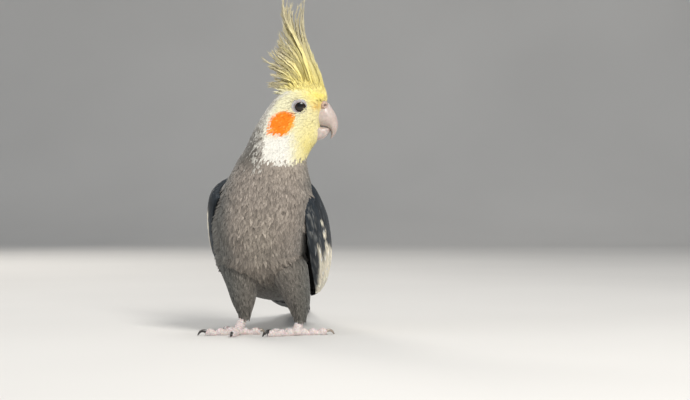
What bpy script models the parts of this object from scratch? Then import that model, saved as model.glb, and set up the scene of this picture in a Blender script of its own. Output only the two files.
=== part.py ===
"""A cockatiel standing on its two feet, life size, as a still museum model.

The bird faces -Y, +Z is up, and its head is turned to its left, towards +X. Sizes below are in
millimetres from a point on the floor between the feet. At the end the whole bird is moved so that
the origin is the bottom centre of its box. Feathers that name the bird are overlapping vanes.
"""

import math

import bmesh
import bpy
import numpy as np
from mathutils import Matrix, Vector

MM = 0.001
GAP = 0.3
SINK = 0.9
FLOOR = 0.0
SEED = 7

BODY_STEPS = 38
BODY_SIDES = 32
CUT_STEPS = 27
CUT_SIDES = 24
FACET_SAG = 0.32
HEAD_YAW = 5.0
HEAD_SHIFT = -2.0

# Body sections from the rump to the crown. Each row is: across, depth and height of its centre,
# tilt, turn, half width right and left, half depth back and front, narrowing towards the right.
BODY = [
    (0.0, 71.0, 20.5, 77, 0, 4.5, 4.5, 2.6, 2.6, 0.0),
    (-0.5, 60.0, 24.0, 72, 0, 11.0, 11.0, 7.0, 7.5, 0.0),
    (-1.8, 47.0, 30.0, 64, 0, 17.0, 17.5, 11.0, 13.5, 0.0),
    (-4.2, 33.0, 38.0, 55, 0, 22.6, 23.8, 15.5, 20.0, 0.0),
    (-6.0, 20.0, 48.0, 46, 0, 26.2, 27.4, 20.0, 25.0, 0.0),
    (-5.2, 9.0, 59.0, 37, 0, 26.6, 27.4, 22.0, 27.5, 0.0),
    (-3.4, 1.0, 70.0, 27, 0, 27.8, 28.4, 22.0, 26.5, 0.0),
    (-0.6, -3.0, 80.0, 17, 0, 28.0, 27.2, 21.0, 23.5, 0.0),
    (0.6, -4.0, 89.0, 9, 0, 25.4, 25.4, 19.0, 20.0, 0.0),
    (1.4, -3.5, 97.0, 3, 1, 22.6, 21.8, 17.5, 17.0, 0.0),
    (2.8, -3.0, 104.0, 0, 3, 20.6, 19.5, 16.2, 16.0, 0.05),
    (5.5, -2.2, 110.0, 0, 5, 20.6, 18.4, 16.0, 16.0, 0.12),
    (8.6, -1.6, 116.0, 0, 5, 21.6, 18.8, 15.6, 15.6, 0.2),
    (11.0, -1.4, 122.5, 0, 5, 21.0, 18.0, 15.0, 15.0, 0.27),
    (13.2, -1.2, 129.0, 0, 5, 20.6, 16.2, 14.2, 14.2, 0.27),
    (15.6, -1.0, 135.0, 0, 5, 19.4, 14.4, 12.8, 12.8, 0.24),
    (18.4, -0.8, 140.5, 0, 5, 16.6, 12.8, 10.4, 10.4, 0.2),
    (20.4, -0.6, 144.4, 0, 5, 11.6, 9.0, 7.0, 7.0, 0.15),
    (21.2, -0.5, 146.4, 0, 5, 4.4, 3.6, 2.8, 2.8, 0.1),
]
FULLNESS = 0.92

# Where the one body is parted: a point on the cut and the cut's direction, pointing to the head.
NECK_CUT = ((0.0, -4.0, 94.0), (0.0, -0.12, 1.0))
HEAD_CUT = ((4.0, -2.0, 111.0), (0.38, 0.0, 1.0))

EYE_AT = (19.2, 134.3)
EYE_RADIUS = 5.6
EYE_DEPTH = 7.5
LID_DEPTH = 12.2
LID_RADIUS = 3.5
LID_WIDTH = 0.62
LID_TILT = 16

# Upper bill from its root to the tip: outer ridge point, inner edge point and half width.
UPPER_BILL = [
    ((30.6, 136.6), (27.4, 123.6), 5.6),
    ((35.3, 137.0), (30.0, 123.0), 6.2),
    ((38.3, 133.2), (33.0, 122.8), 6.0),
    ((40.3, 129.6), (34.8, 122.4), 5.4),
    ((41.3, 126.2), (36.1, 121.6), 4.6),
    ((41.4, 122.8), (37.0, 120.4), 3.6),
    ((40.6, 119.8), (37.3, 118.8), 2.5),
    ((39.2, 117.4), (37.3, 117.2), 1.4),
    ((37.7, 115.9), (37.1, 116.1), 0.4),
]
# Lower bill: distance forward, top, bottom and half width.
LOWER_BILL = [
    (27.4, 122.2, 114.6, 4.8),
    (30.0, 122.2, 114.9, 5.0),
    (33.0, 122.0, 116.2, 4.5),
    (35.2, 121.8, 118.2, 3.3),
    (36.4, 121.6, 120.2, 1.7),
]
CERE_AT = (32.9, 134.6)
CERE_HALF = (3.1, 6.3, 4.0)
NOSTRIL_AT = (34.0, 134.9)
NOSTRIL_RADIUS = 0.95

# Folded wing: depth and height of its centre line, half width, half rise, thickness, and the
# angles of its lower and upper edges.
WING = [
    (-9.0, 86.0, 27.0, 15.0, 3.0, -29.0, 62.0),
    (-5.0, 82.0, 33.0, 19.0, 6.0, -35.0, 68.0),
    (8.0, 67.0, 36.6, 23.5, 7.5, -41.0, 74.0),
    (24.0, 50.5, 36.6, 23.5, 7.5, -41.0, 79.0),
    (42.0, 37.0, 31.0, 20.0, 6.0, -37.0, 82.0),
    (64.0, 27.5, 22.5, 14.5, 4.2, -31.0, 84.0),
    (92.0, 21.0, 14.0, 9.0, 2.6, -26.0, 84.0),
    (118.0, 17.0, 8.5, 5.5, 1.8, -24.0, 82.0),
    (139.0, 14.8, 5.0, 3.2, 1.2, -20.0, 78.0),
]
WING_TOP = 85.0
# The left wing is held closer than the right at its bend and further off at its tip, as shares of
# the table's width at some depths. Belly feathers hide the right one's lower edge.
WING_WIDTH = {
    1: ((-9.0, 8.0, 24.0, 42.0, 64.0, 92.0, 139.0), (0.86, 0.93, 0.95, 1.03, 1.18, 1.15, 1.0)),
    -1: ((-9.0, 139.0), (1.0, 1.0)),
}
WING_LOW = {1: 1.0, -1: 0.6}
WING_CORE_END = 98.0
WING_CORE_DROP = 1.3

# Tiers of wing feathers: how many, depth of the first and last root, their places across the wing
# from the lower edge (0) to the upper (1), depth of the first and last tip, their places across,
# half width, height over the wing's face at the tip, and thickness.
WING_TIERS = [
    (5, (22.0, 52.0), (0.06, 0.40), (139.0, 104.0), (0.45, 0.55), 5.6, -0.45, 0.9),
    (5, (14.0, 22.0), (0.12, 0.82), (88.0, 80.0), (0.14, 0.86), 6.8, 0.0, 1.0),
    (1, (11.0, 14.0), (0.86, 0.90), (68.0, 62.0), (0.88, 0.93), 7.6, 0.5, 1.0),
    (5, (0.0, 8.0), (0.08, 0.90), (54.0, 46.0), (0.08, 0.90), 7.4, 0.55, 1.0),
    (4, (-5.0, 0.0), (0.12, 0.86), (32.0, 28.0), (0.12, 0.88), 8.0, 0.9, 1.0),
    (3, (-8.5, -6.0), (0.18, 0.82), (12.0, 12.0), (0.18, 0.86), 8.4, 1.1, 1.0),
]

# Stations along a vane: how far along it, and its width there as a share of the widest.
VANE_SHAPE = [(0.0, 0.5), (0.3, 0.92), (0.62, 1.0), (0.88, 0.72), (1.0, 0.08)]
COVERT_SHAPE = [(0.0, 0.6), (0.5, 1.0), (0.85, 0.75), (1.0, 0.1)]
COVERT_LENGTH = 45.0
VANE_LEAN = 0.35

# Tail: depth and height of its centre line, half width, half thickness.
TAIL = [
    (61.0, 22.6, 9.5, 3.6),
    (74.0, 19.6, 10.5, 3.2),
    (100.0, 14.4, 11.0, 2.4),
    (130.0, 9.2, 10.0, 1.8),
    (160.0, 4.8, 7.5, 1.4),
    (182.0, 1.6, 4.6, 1.0),
    (207.0, 0.6, 1.2, 0.6),
]
TAIL_CORE_END = 112.0
# Tail feathers from the middle pair out: across at root and tip, depth of the tip, half width and
# height over the tail's centre line.
TAIL_PAIRS = [
    (1.6, 0.9, 207.0, 3.0, 0.9),
    (3.2, 2.6, 196.0, 3.2, 0.45),
    (4.8, 4.2, 184.0, 3.2, 0.1),
    (6.3, 5.7, 170.0, 3.1, -0.25),
    (7.6, 7.1, 156.0, 3.0, -0.6),
    (8.8, 8.5, 142.0, 2.9, -0.95),
]
TAIL_COVERTS = [(4.8, 88.0), (1.9, 104.0)]
TAIL_VANE = 0.9

# Crest feathers from front to back, in the turned head's directions: forward and height of the
# root, of the bend and of the tip, then distance from the middle at root and tip.
CREST = [
    (33.0, 139.5, 21.2, 168.0, 21.9, 200.9, 0.9, 0.8),
    (31.2, 141.6, 18.4, 165.0, 17.6, 188.4, 1.6, 1.9),
    (29.6, 142.8, 15.4, 170.0, 9.6, 198.6, 1.1, 0.9),
    (27.8, 143.8, 13.6, 166.0, 13.4, 192.6, 2.1, 2.4),
    (26.0, 144.6, 13.8, 159.0, 7.3, 176.4, 1.4, 1.2),
    (24.0, 145.0, 13.0, 155.5, 6.4, 171.0, 2.5, 2.6),
    (22.2, 145.3, 11.5, 153.8, 3.0, 166.8, 1.5, 1.3),
    (20.2, 145.3, 9.2, 151.4, -1.6, 162.2, 2.6, 2.4),
    (18.2, 145.0, 8.2, 150.2, 1.8, 158.6, 1.6, 1.6),
    (16.2, 144.4, 7.6, 148.8, 3.4, 153.2, 2.8, 3.2),
    (14.4, 143.4, 7.0, 147.0, 2.2, 148.6, 1.6, 1.5),
    (12.6, 142.0, 6.2, 144.6, 1.0, 146.4, 3.0, 3.4),
]
CREST_HALF = 1.7
CREST_THICK = 0.75
CREST_FACING = 50.0

# Each leg: across, depth, height and radius of the feathered part, then of the bare part.
SHINS = {
    "right": [(-15.0, 10.0, 47.0, 15.5), (-16.0, 6.0, 38.0, 13.2), (-15.6, 3.0, 28.0, 9.4),
              (-14.9, 2.0, 19.0, 6.8), (-14.3, 2.0, 11.5, 3.9)],
    "left": [(9.0, 9.0, 47.0, 12.5), (11.0, 6.0, 38.0, 12.2), (14.8, 3.0, 28.0, 9.8),
             (17.4, 2.0, 19.0, 7.3), (18.7, 2.0, 9.5, 4.0)],
}
TARSI = {
    "right": [
        (-14.4, 2.2, 12.8, 2.7),
        (-15.4, 1.4, 8.8, 2.6),
        (-17.2, 0.4, 4.6, 2.9),
        (-18.0, 0.0, 2.0, 3.4),
    ],
    "left": [
        (18.6, 2.4, 10.6, 2.7),
        (18.4, 1.6, 7.8, 2.7),
        (17.6, 0.6, 4.4, 3.0),
        (17.0, 0.0, 2.0, 3.4),
    ],
}
FEET = {"right": (-18.0, 0.0), "left": (17.0, 0.0)}
# Toes: number, heading in degrees from -Y turning to +X, length, number of pads, claw length.
TOES = {
    "right": [
        (1, 112.0, 13.0, 2, 5.5),
        (2, -4.0, 14.5, 2, 6.0),
        (3, -72.0, 18.5, 3, 9.0),
        (4, -146.0, 16.5, 3, 7.0),
    ],
    "left": [
        (1, 186.0, 12.0, 2, 5.5),
        (2, -86.0, 15.0, 2, 6.5),
        (3, -54.0, 18.5, 3, 7.5),
        (4, 106.0, 17.5, 3, 8.5),
    ],
}
TOE_RADIUS = 2.15
TOE_ROOT = 3.2
TOE_SIDES = 8

COLOURS = {
    "grey_feather": ((0.17, 0.165, 0.16), 0.85),
    "wing_feather": ((0.05, 0.06, 0.07), 0.7),
    "tail_feather": ((0.10, 0.10, 0.105), 0.7),
    "face_feather": ((0.85, 0.78, 0.32), 0.85),
    "bill": ((0.62, 0.53, 0.50), 0.45),
    "cere": ((0.72, 0.50, 0.44), 0.6),
    "eye": ((0.01, 0.01, 0.012), 0.05),
    "skin": ((0.75, 0.58, 0.55), 0.6),
    "claw": ((0.05, 0.045, 0.045), 0.4),
}


def clear_scene():
    """Removes what the startup file holds."""
    for item in list(bpy.data.objects):
        bpy.data.objects.remove(item)


def material(name):
    """The Principled material of that name, made once."""
    found = bpy.data.materials.get(name)
    if found:
        return found
    made = bpy.data.materials.new(name)
    made.use_nodes = True
    shader = made.node_tree.nodes["Principled BSDF"]
    colour, roughness = COLOURS[name]
    shader.inputs["Base Color"].default_value = (*colour, 1.0)
    shader.inputs["Roughness"].default_value = roughness
    shader.inputs["Metallic"].default_value = 0.0
    return made


def smooth_rows(table, steps):
    """A smooth curve through the rows of a table, read at even steps."""
    keys = np.array(table, float)
    padded = np.vstack([2 * keys[0] - keys[1], keys, 2 * keys[-1] - keys[-2]])
    at = np.linspace(0, len(keys) - 1, steps)
    first = np.minimum(at.astype(int), len(keys) - 2)
    t = (at - first)[:, None]
    a, b, c, d = (padded[first + k] for k in range(4))
    return b + 0.5 * t * (c - a + t * (2 * a - 5 * b + 4 * c - d + t * (3 * (b - c) + d - a)))


def unit(vectors):
    """The same vectors, one unit long."""
    return vectors / np.linalg.norm(vectors, axis=-1, keepdims=True)


def loft(name, rings, finish, bent=False):
    """A closed solid through rings of points in millimetres, as one object.

    The second half of each ring is split the mirrored way, so that thin forms split alike on both
    faces. A bent ring runs out along one face and back along the other, and is capped by strips.
    """
    rings = np.asarray(rings, float)
    count, sides = rings.shape[:2]
    points = rings.reshape(-1, 3)
    here = np.arange(sides)
    after = (here + 1) % sides
    faces = []
    mirrored = (here >= sides // 2)[:, None]
    for i in range(count - 1):
        a, b = i * sides + here, i * sides + after
        c, d = b + sides, a + sides
        faces.append(np.where(mirrored, np.stack([a, b, d], 1), np.stack([a, b, c], 1)))
        faces.append(np.where(mirrored, np.stack([b, c, d], 1), np.stack([a, c, d], 1)))
    last = (count - 1) * sides
    if bent:
        near = np.arange(sides // 2 - 1)
        far = sides - 1 - near
        for base, order in ((0, 1), (last, -1)):
            faces.append(base + np.stack([near, far, near + 1], 1)[:, ::order])
            faces.append(base + np.stack([near + 1, far, far - 1], 1)[:, ::order])
    elif sides == 4:
        faces.append([(0, 2, 1), (0, 3, 2), (last, last + 1, last + 2), (last, last + 2, last + 3)])
    else:
        points = np.vstack([points, rings[0].mean(0), rings[-1].mean(0)])
        faces.append(np.stack([np.full(sides, count * sides), after, here], 1))
        faces.append(np.stack([np.full(sides, count * sides + 1), last + here, last + after], 1))
    mesh = bpy.data.meshes.new(name)
    mesh.from_pydata((points * MM).tolist(), [], np.vstack(faces).tolist())
    form = bmesh.new()
    form.from_mesh(mesh)
    if form.calc_volume(signed=True) < 0:
        bmesh.ops.reverse_faces(form, faces=form.faces[:])
    form.to_mesh(mesh)
    form.free()
    return place(name, mesh, finish)


def place(name, mesh, finish):
    """Puts a mesh in the scene as one object with its finish."""
    made = bpy.data.objects.new(name, mesh)
    bird.objects.link(made)
    mesh.materials.clear()
    mesh.materials.append(material(finish))
    mesh.shade_smooth()
    mesh.set_sharp_from_angle(angle=math.radians(50))
    return made


def ball(name, centre, half, finish, rings=8):
    """An ellipsoid with the given half sizes."""
    form = bmesh.new()
    bmesh.ops.create_uvsphere(form, u_segments=rings * 2, v_segments=rings, radius=1.0)
    bmesh.ops.scale(form, vec=Vector(half) * MM, verts=form.verts)
    bmesh.ops.rotate(form, matrix=turn(HEAD_YAW), verts=form.verts)
    bmesh.ops.translate(form, vec=Vector(centre) * MM, verts=form.verts)
    mesh = bpy.data.meshes.new(name)
    form.to_mesh(mesh)
    form.free()
    return place(name, mesh, finish)


def turn(degrees):
    """A turn about the upright axis."""
    return Matrix.Rotation(math.radians(degrees), 3, "Z")


def head_point(forward, side, height):
    """A point given in the turned head's own directions."""
    yaw = math.radians(HEAD_YAW)
    return (
        forward * math.cos(yaw) - side * math.sin(yaw),
        forward * math.sin(yaw) + side * math.cos(yaw) + HEAD_SHIFT,
        height,
    )


def boolean(target, other, operation):
    """Joins or cuts target with other, and removes other."""
    change = target.modifiers.new(operation, "BOOLEAN")
    change.operation = operation
    change.solver = "EXACT"
    change.object = other
    bake(target)
    bpy.data.objects.remove(other)
    return target


def bake(target):
    """Replaces an object's mesh by what its modifiers make of it."""
    graph = bpy.context.evaluated_depsgraph_get()
    mesh = bpy.data.meshes.new_from_object(target.evaluated_get(graph))
    target.modifiers.clear()
    target.data = mesh


def fuse(target, pieces):
    """Joins a collection of closed pieces to target in one Boolean union."""
    group = bpy.data.collections.new(target.name + "_pieces")
    bpy.context.scene.collection.children.link(group)
    for piece in pieces:
        bird.objects.unlink(piece)
        group.objects.link(piece)
    change = target.modifiers.new("Join", "BOOLEAN")
    change.operation = "UNION"
    change.solver = "EXACT"
    change.operand_type = "COLLECTION"
    change.collection = group
    bake(target)
    for piece in pieces:
        bpy.data.objects.remove(piece)
    bpy.data.collections.remove(group)
    return target


def keep_largest(target):
    """Keeps only the largest closed surface of an object."""
    form = bmesh.new()
    form.from_mesh(target.data)
    left, parts = set(form.verts), []
    while left:
        queue, part = [left.pop()], set()
        while queue:
            vert = queue.pop()
            part.add(vert)
            for edge in vert.link_edges:
                near = edge.other_vert(vert)
                if near in left:
                    left.remove(near)
                    queue.append(near)
        parts.append(part)
    parts.sort(key=spread, reverse=True)
    dropped = [vert for part in parts[1:] for vert in part]
    if dropped:
        bmesh.ops.delete(form, geom=dropped, context="VERTS")
        form.to_mesh(target.data)
    form.free()
    return target


def spread(part):
    """The size of the box round some points, to rank closed surfaces."""
    points = np.array([tuple(vert.co) for vert in part])
    return float(np.prod(np.ptp(points, axis=0) + 1e-6))


def split_copy(source, name, finish, low=None, high=None):
    """A copy of source between two cuts, each pulled back by half the gap."""
    form = bmesh.new()
    form.from_mesh(source.data)
    for cut, sign in ((low, 1), (high, -1)):
        if cut is None:
            continue
        point, normal = Vector(cut[0]), Vector(cut[1]).normalized()
        edge = (point + normal * sign * GAP / 2) * MM
        geometry = form.verts[:] + form.edges[:] + form.faces[:]
        bmesh.ops.bisect_plane(form, geom=geometry, dist=1e-7, plane_co=edge,
                               plane_no=normal * sign, clear_inner=True)
        bmesh.ops.holes_fill(form, edges=[e for e in form.edges if e.is_boundary])
    bmesh.ops.triangulate(form, faces=form.faces)
    mesh = bpy.data.meshes.new(name)
    form.to_mesh(mesh)
    form.free()
    return place(name, mesh, finish)


def body_rings(grow=0.0, steps=BODY_STEPS, sides=BODY_SIDES):
    """The bird's outline as rings from the rump to the crown."""
    rows = smooth_rows(BODY, steps)
    x, y, z, tilt, yaw, right, left, back, front, narrow = (c[:, None] for c in rows.T)
    around = np.linspace(0, 2 * np.pi, sides, endpoint=False)
    c, s = np.cos(around), np.sin(around)
    c_full = np.sign(c) * np.abs(c) ** FULLNESS
    s_full = np.sign(s) * np.abs(s) ** FULLNESS
    across = (np.where(c > 0, right, left) + grow) * c_full
    deep = (np.where(s > 0, back, front) + grow) * s_full * (1 - narrow * c)
    tilt, yaw = np.radians(tilt), np.radians(yaw)
    level = deep * np.cos(tilt)
    return np.stack([
        x + across * np.cos(yaw) - level * np.sin(yaw),
        y + across * np.sin(yaw) + level * np.cos(yaw),
        z + deep * np.sin(tilt),
    ], axis=-1)


def tube_rings(rows, sides, floor=None):
    """Rings of a round limb. Each row is a centre and a radius; nothing goes under the floor."""
    rows = np.array(rows, float)
    centres, radii = rows[:, :3], rows[:, 3]
    tangent = unit(np.gradient(centres, axis=0))
    up = np.where(np.abs(tangent[:, 2:3]) > 0.8, (0.0, 1.0, 0.0), (0.0, 0.0, 1.0))
    side = unit(np.cross(tangent, up))
    over = np.cross(side, tangent)
    around = np.linspace(0, 2 * np.pi, sides, endpoint=False)[None, :, None]
    rings = centres[:, None] + radii[:, None, None] * (
        np.cos(around) * side[:, None] + np.sin(around) * over[:, None])
    if floor is not None:
        rings[..., 2] = np.maximum(rings[..., 2], floor)
    return rings


def upper_bill_rings(grow=0.0, sides=14):
    """The hooked upper bill as ellipses between its ridge and its inner edge."""
    rows = smooth_rows([(*outer, *inner, half) for outer, inner, half in UPPER_BILL], 15)
    ridge, edge, half = rows[:, 0:2], rows[:, 2:4], rows[:, 4]
    middle, reach = (ridge + edge) / 2, (ridge - edge) / 2
    length = np.linalg.norm(reach, axis=1, keepdims=True)
    reach = reach * (length + grow) / length
    rings = []
    for m, r, h in zip(middle, reach, half):
        ring = []
        for a in np.linspace(0, 2 * np.pi, sides, endpoint=False):
            flat = m + r * math.cos(a)
            ring.append(head_point(flat[0], (h + grow) * math.sin(a), flat[1]))
        rings.append(ring)
    return rings


def lower_bill_rings(grow=0.0, sides=12):
    """The scoop of the lower bill."""
    rings = []
    for forward, top, bottom, half in smooth_rows(LOWER_BILL, 7):
        ring = []
        for a in np.linspace(0, 2 * np.pi, sides, endpoint=False):
            height = (top + bottom) / 2 + ((top - bottom) / 2 + grow) * math.cos(a)
            ring.append(head_point(forward, (half + grow) * math.sin(a), height))
        rings.append(ring)
    return rings


def wing_point(side, depth, place_across, lift=0.0):
    """Points on the folded wing's outer face, raised by lift.

    A place across is 0 at the wing's lower edge and 1 at its upper edge.
    """
    dense = smooth_rows(WING, 120)
    height, wide, high, low_edge, high_edge = (
        np.interp(depth, dense[:, 0], dense[:, k]) for k in (1, 2, 3, 5, 6))
    wide, low_edge = wide * np.interp(depth, *WING_WIDTH[side]), low_edge * WING_LOW[side]
    slope = np.interp(depth, dense[:, 0], np.gradient(dense[:, 1], dense[:, 0]))
    length = np.sqrt(1 + slope ** 2)
    angle = np.radians(np.minimum(low_edge + (high_edge - low_edge) * place_across, WING_TOP))
    rise = (high + lift) * np.sin(angle)
    return np.stack([
        side * (wide + lift) * np.cos(angle),
        depth - slope / length * rise,
        height + rise / length,
    ], axis=-1)


def wing_core(name, side):
    """The blade under the wing's feathers, which wraps the body and holds their roots."""
    rows = smooth_rows(WING, 17)
    rows = rows[rows[:, 0] <= WING_CORE_END]
    across = np.linspace(0, 1, 9)
    rings = []
    for row in rows:
        depth = np.full(across.shape, row[0])
        edge = np.sin(np.pi * (np.arange(len(across)) + 0.5) / len(across)) ** 0.5
        shrink = np.maximum(row[4] * edge, 0.7)
        outer = wing_point(side, depth, across, -WING_CORE_DROP)
        inner = wing_point(side, depth, across, -WING_CORE_DROP - shrink)
        rings.append(np.vstack([outer, inner[::-1]]))
    return loft(name, rings, "wing_feather", bent=True)


def wing_vane(side, root, tip, half, lift, thick):
    """One feather of the wing, from its root to its tip, each a depth and a place across."""
    shape = COVERT_SHAPE if tip[0] - root[0] < COVERT_LENGTH else VANE_SHAPE
    along, share = np.array(shape).T
    depth = root[0] + (tip[0] - root[0]) * along
    place_across = root[1] + (tip[1] - root[1]) * along ** 0.8
    dense = smooth_rows(WING, 120)
    wide, low_edge, high_edge = (np.interp(depth, dense[:, 0], dense[:, k]) for k in (2, 5, 6))
    spread_angle = np.radians(high_edge - low_edge * WING_LOW[side])
    reach = half * share / (spread_angle * wide * np.interp(depth, *WING_WIDTH[side]))
    rise = -SINK - WING_CORE_DROP + (lift + SINK + WING_CORE_DROP) * np.minimum(along / 0.5, 1)
    body = thick * np.linspace(1, 0.45, len(along)) / 2
    rings = np.stack([
        wing_point(side, depth, place_across - reach, rise - VANE_LEAN),
        wing_point(side, depth, place_across, rise + body),
        wing_point(side, depth, place_across + reach, rise + VANE_LEAN),
        wing_point(side, depth, place_across, rise - body),
    ], axis=1)
    return loft("vane", rings, "wing_feather")


def wing_vanes(side):
    """All the feathers of one wing, tier by tier."""
    vanes = []
    for count, roots, root_across, tips, tip_across, half, lift, thick in WING_TIERS:
        for t in np.linspace(0, 1, count):
            stray = vary.uniform(-1, 1, 3)
            root = (roots[0] + (roots[1] - roots[0]) * t,
                    root_across[0] + (root_across[1] - root_across[0]) * t)
            tip = (tips[0] + (tips[1] - tips[0]) * t + 0.9 * stray[0],
                   tip_across[0] + (tip_across[1] - tip_across[0]) * t + 0.008 * stray[1])
            vanes.append(wing_vane(side, root, tip, half * (1 + 0.05 * stray[2]), lift, thick))
    return vanes


def tail_line(depth):
    """Height of the tail's centre line and its half width and thickness at each depth."""
    dense = smooth_rows(TAIL, 80)
    return (np.interp(depth, dense[:, 0], dense[:, k]) for k in (1, 2, 3))


def tail_core():
    """The root of the tail, which holds its feathers."""
    rows = smooth_rows(TAIL, 24)
    rows = rows[rows[:, 0] <= TAIL_CORE_END]
    rings = []
    for y, z, wide, thick in rows:
        ring = []
        for a in np.linspace(0, 2 * np.pi, 14, endpoint=False):
            ring.append((wide * 0.92 * math.cos(a), y, z + thick * 0.85 * math.sin(a)))
        rings.append(ring)
    return loft("tail", rings, "tail_feather")


def tail_vane(across, depth, half, lift):
    """One tail feather; across and depth each give the root and the tip."""
    along, share = np.array(VANE_SHAPE).T
    y = depth[0] + (depth[1] - depth[0]) * along
    x = across[0] + (across[1] - across[0]) * along
    z = next(tail_line(y)) + lift * (1 - 0.6 * along)
    body = TAIL_VANE * np.linspace(1, 0.6, len(along)) / 2
    lean = VANE_LEAN * np.sign(across[0])
    rings = np.stack([
        np.stack([x - half * share, y, z + lean], 1),
        np.stack([x, y, z + body], 1),
        np.stack([x + half * share, y, z - lean], 1),
        np.stack([x, y, z - body], 1),
    ], axis=1)
    rings[..., 2] = np.maximum(rings[..., 2], FLOOR)
    return loft("vane", rings, "tail_feather")


def tail_vanes():
    """Six pairs of tail feathers, the middle pair longest and on top, and their coverts."""
    vanes = []
    for side in (1, -1):
        for root, tip, end, half, lift in TAIL_PAIRS:
            vanes.append(tail_vane((side * root, side * tip), (70.0, end), half, lift))
        for across, end in TAIL_COVERTS:
            vanes.append(tail_vane((side * across, side * across), (60.0, end), 4.2, 2.6))
    return vanes


def crest_vanes():
    """The raised crest, feather by feather, in pairs either side of the middle."""
    vanes = []
    along = np.array([0.0, 0.2, 0.5, 0.8, 1.0])[:, None]
    width = CREST_HALF * np.array([0.6, 0.95, 1.0, 0.75, 0.12])
    body = CREST_THICK * np.linspace(1, 0.5, len(along)) / 2
    for side in (1, -1):
        for row in CREST:
            stray = vary.uniform(-0.6, 0.6, 4)
            root, bend, tip = np.array(row[0:2]), np.array(row[2:4]), np.array(row[4:6])
            tip = tip + stray[:2] * (side < 0)
            line = (1 - along) ** 2 * root + 2 * along * (1 - along) * bend + along ** 2 * tip
            run = unit(np.gradient(line, axis=0))
            line = line + (along - 0.2).clip(max=0) * SINK * 5 * run
            off = side * (row[6] + (row[7] - row[6]) * along[:, 0] + 0.5 * stray[2] * along[:, 0])
            facing = math.radians(CREST_FACING + 20 * stray[3])
            flat = np.stack([-run[:, 1], run[:, 0]], 1)
            rings = []
            for k in range(len(line)):
                wide_at = flat[k] * math.sin(facing)
                thin_at = flat[k] * math.cos(facing)
                cross, deep = math.cos(facing) * side, -math.sin(facing) * side
                ring = []
                for w, b in ((-width[k], 0), (0, body[k]), (width[k], 0), (0, -body[k])):
                    spot = line[k] + wide_at * w + thin_at * b
                    ring.append(head_point(spot[0], off[k] + cross * w + deep * b, spot[1]))
                rings.append(ring)
            vanes.append(loft("vane", rings, "face_feather"))
    return vanes


def build_body():
    """Torso, neck and head, parted from one body by thin cuts."""
    whole = loft("whole", body_rings(), "grey_feather")
    split_copy(whole, "torso", "grey_feather", high=NECK_CUT)
    split_copy(whole, "neck", "grey_feather", low=NECK_CUT, high=HEAD_CUT)
    head = split_copy(whole, "head", "face_feather", low=HEAD_CUT)
    bpy.data.objects.remove(whole)
    return head


def lid_ring(side):
    """The ring of bare skin round one eye."""
    centre = head_point(EYE_AT[0], side * LID_DEPTH, EYE_AT[1])
    bpy.ops.mesh.primitive_torus_add(
        major_radius=LID_RADIUS * MM, minor_radius=LID_WIDTH * MM, major_segments=14,
        minor_segments=6, location=Vector(centre) * MM,
        rotation=(math.radians(90 + LID_TILT * side), 0, math.radians(HEAD_YAW - LID_TILT * side)))
    ring = bpy.context.object
    for group in ring.users_collection:
        group.objects.unlink(ring)
    bird.objects.link(ring)
    return ring


def build_head(head):
    """Eyes, lids, cere, nostrils and bill, each set into the head."""
    fuse(head, crest_vanes() + [lid_ring(1), lid_ring(-1)])
    for side, word in ((1, "left"), (-1, "right")):
        centre = head_point(EYE_AT[0], side * EYE_DEPTH, EYE_AT[1])
        ball("eye_" + word, centre, (EYE_RADIUS,) * 3, "eye")
        boolean(head, ball("cut", centre, (EYE_RADIUS + GAP,) * 3, "eye"), "DIFFERENCE")
    upper = loft("bill_upper", upper_bill_rings(), "bill")
    lower = loft("bill_lower", lower_bill_rings(), "bill")
    boolean(lower, loft("cut", upper_bill_rings(GAP), "bill"), "DIFFERENCE")
    centre = head_point(CERE_AT[0], 0, CERE_AT[1])
    cere = ball("cere", centre, CERE_HALF, "cere")
    boolean(cere, loft("cut", upper_bill_rings(GAP), "bill"), "DIFFERENCE")
    for side in (1, -1):
        hole = head_point(NOSTRIL_AT[0], side * 5.6, NOSTRIL_AT[1])
        boolean(cere, ball("cut", hole, (NOSTRIL_RADIUS,) * 3, "cere", 5), "DIFFERENCE")
    grown = [half + GAP for half in CERE_HALF]
    boolean(head, ball("cut", centre, grown, "cere"), "DIFFERENCE")
    boolean(head, loft("cut", upper_bill_rings(GAP), "bill"), "DIFFERENCE")
    boolean(head, loft("cut", lower_bill_rings(GAP), "bill"), "DIFFERENCE")
    for piece in (head, upper, lower, cere):
        keep_largest(piece)


def grown_body():
    """The whole body in broader facets, a gap larger, to cut what lies against it."""
    return loft("cut", body_rings(GAP + FACET_SAG, CUT_STEPS, CUT_SIDES), "grey_feather")


def build_wings():
    """Both folded wings, cut to lie on the body."""
    for side, word in ((1, "left"), (-1, "right")):
        wing = fuse(wing_core("wing_" + word, side), wing_vanes(side))
        boolean(wing, grown_body(), "DIFFERENCE")
        keep_largest(wing)


def build_tail():
    """The tail, cut to meet the rump."""
    tail = fuse(tail_core(), tail_vanes())
    boolean(tail, grown_body(), "DIFFERENCE")
    keep_largest(tail)


def toe_rows(foot, heading, length, pads):
    """Centres and radii along a toe that swells at its joints and pads."""
    angle = math.radians(heading)
    ahead = np.array([math.sin(angle), -math.cos(angle)])
    rows = []
    steps = 3 * pads
    for i in range(steps + 1):
        t = i / steps
        reach = TOE_ROOT + (length - TOE_ROOT) * t
        swell = 0.5 - 0.5 * math.cos(2 * math.pi * pads * t)
        radius = TOE_RADIUS * (0.86 + 0.2 * swell - 0.1 * t)
        rows.append((foot[0] + ahead[0] * reach, foot[1] + ahead[1] * reach, radius * 0.82, radius))
    tip = rows[-1]
    rows.append((tip[0] + ahead[0] * 0.8, tip[1] + ahead[1] * 0.8, tip[2], tip[3] * 0.72))
    rows.append((tip[0] + ahead[0] * 1.25, tip[1] + ahead[1] * 1.25, tip[2], tip[3] * 0.25))
    return rows


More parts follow.
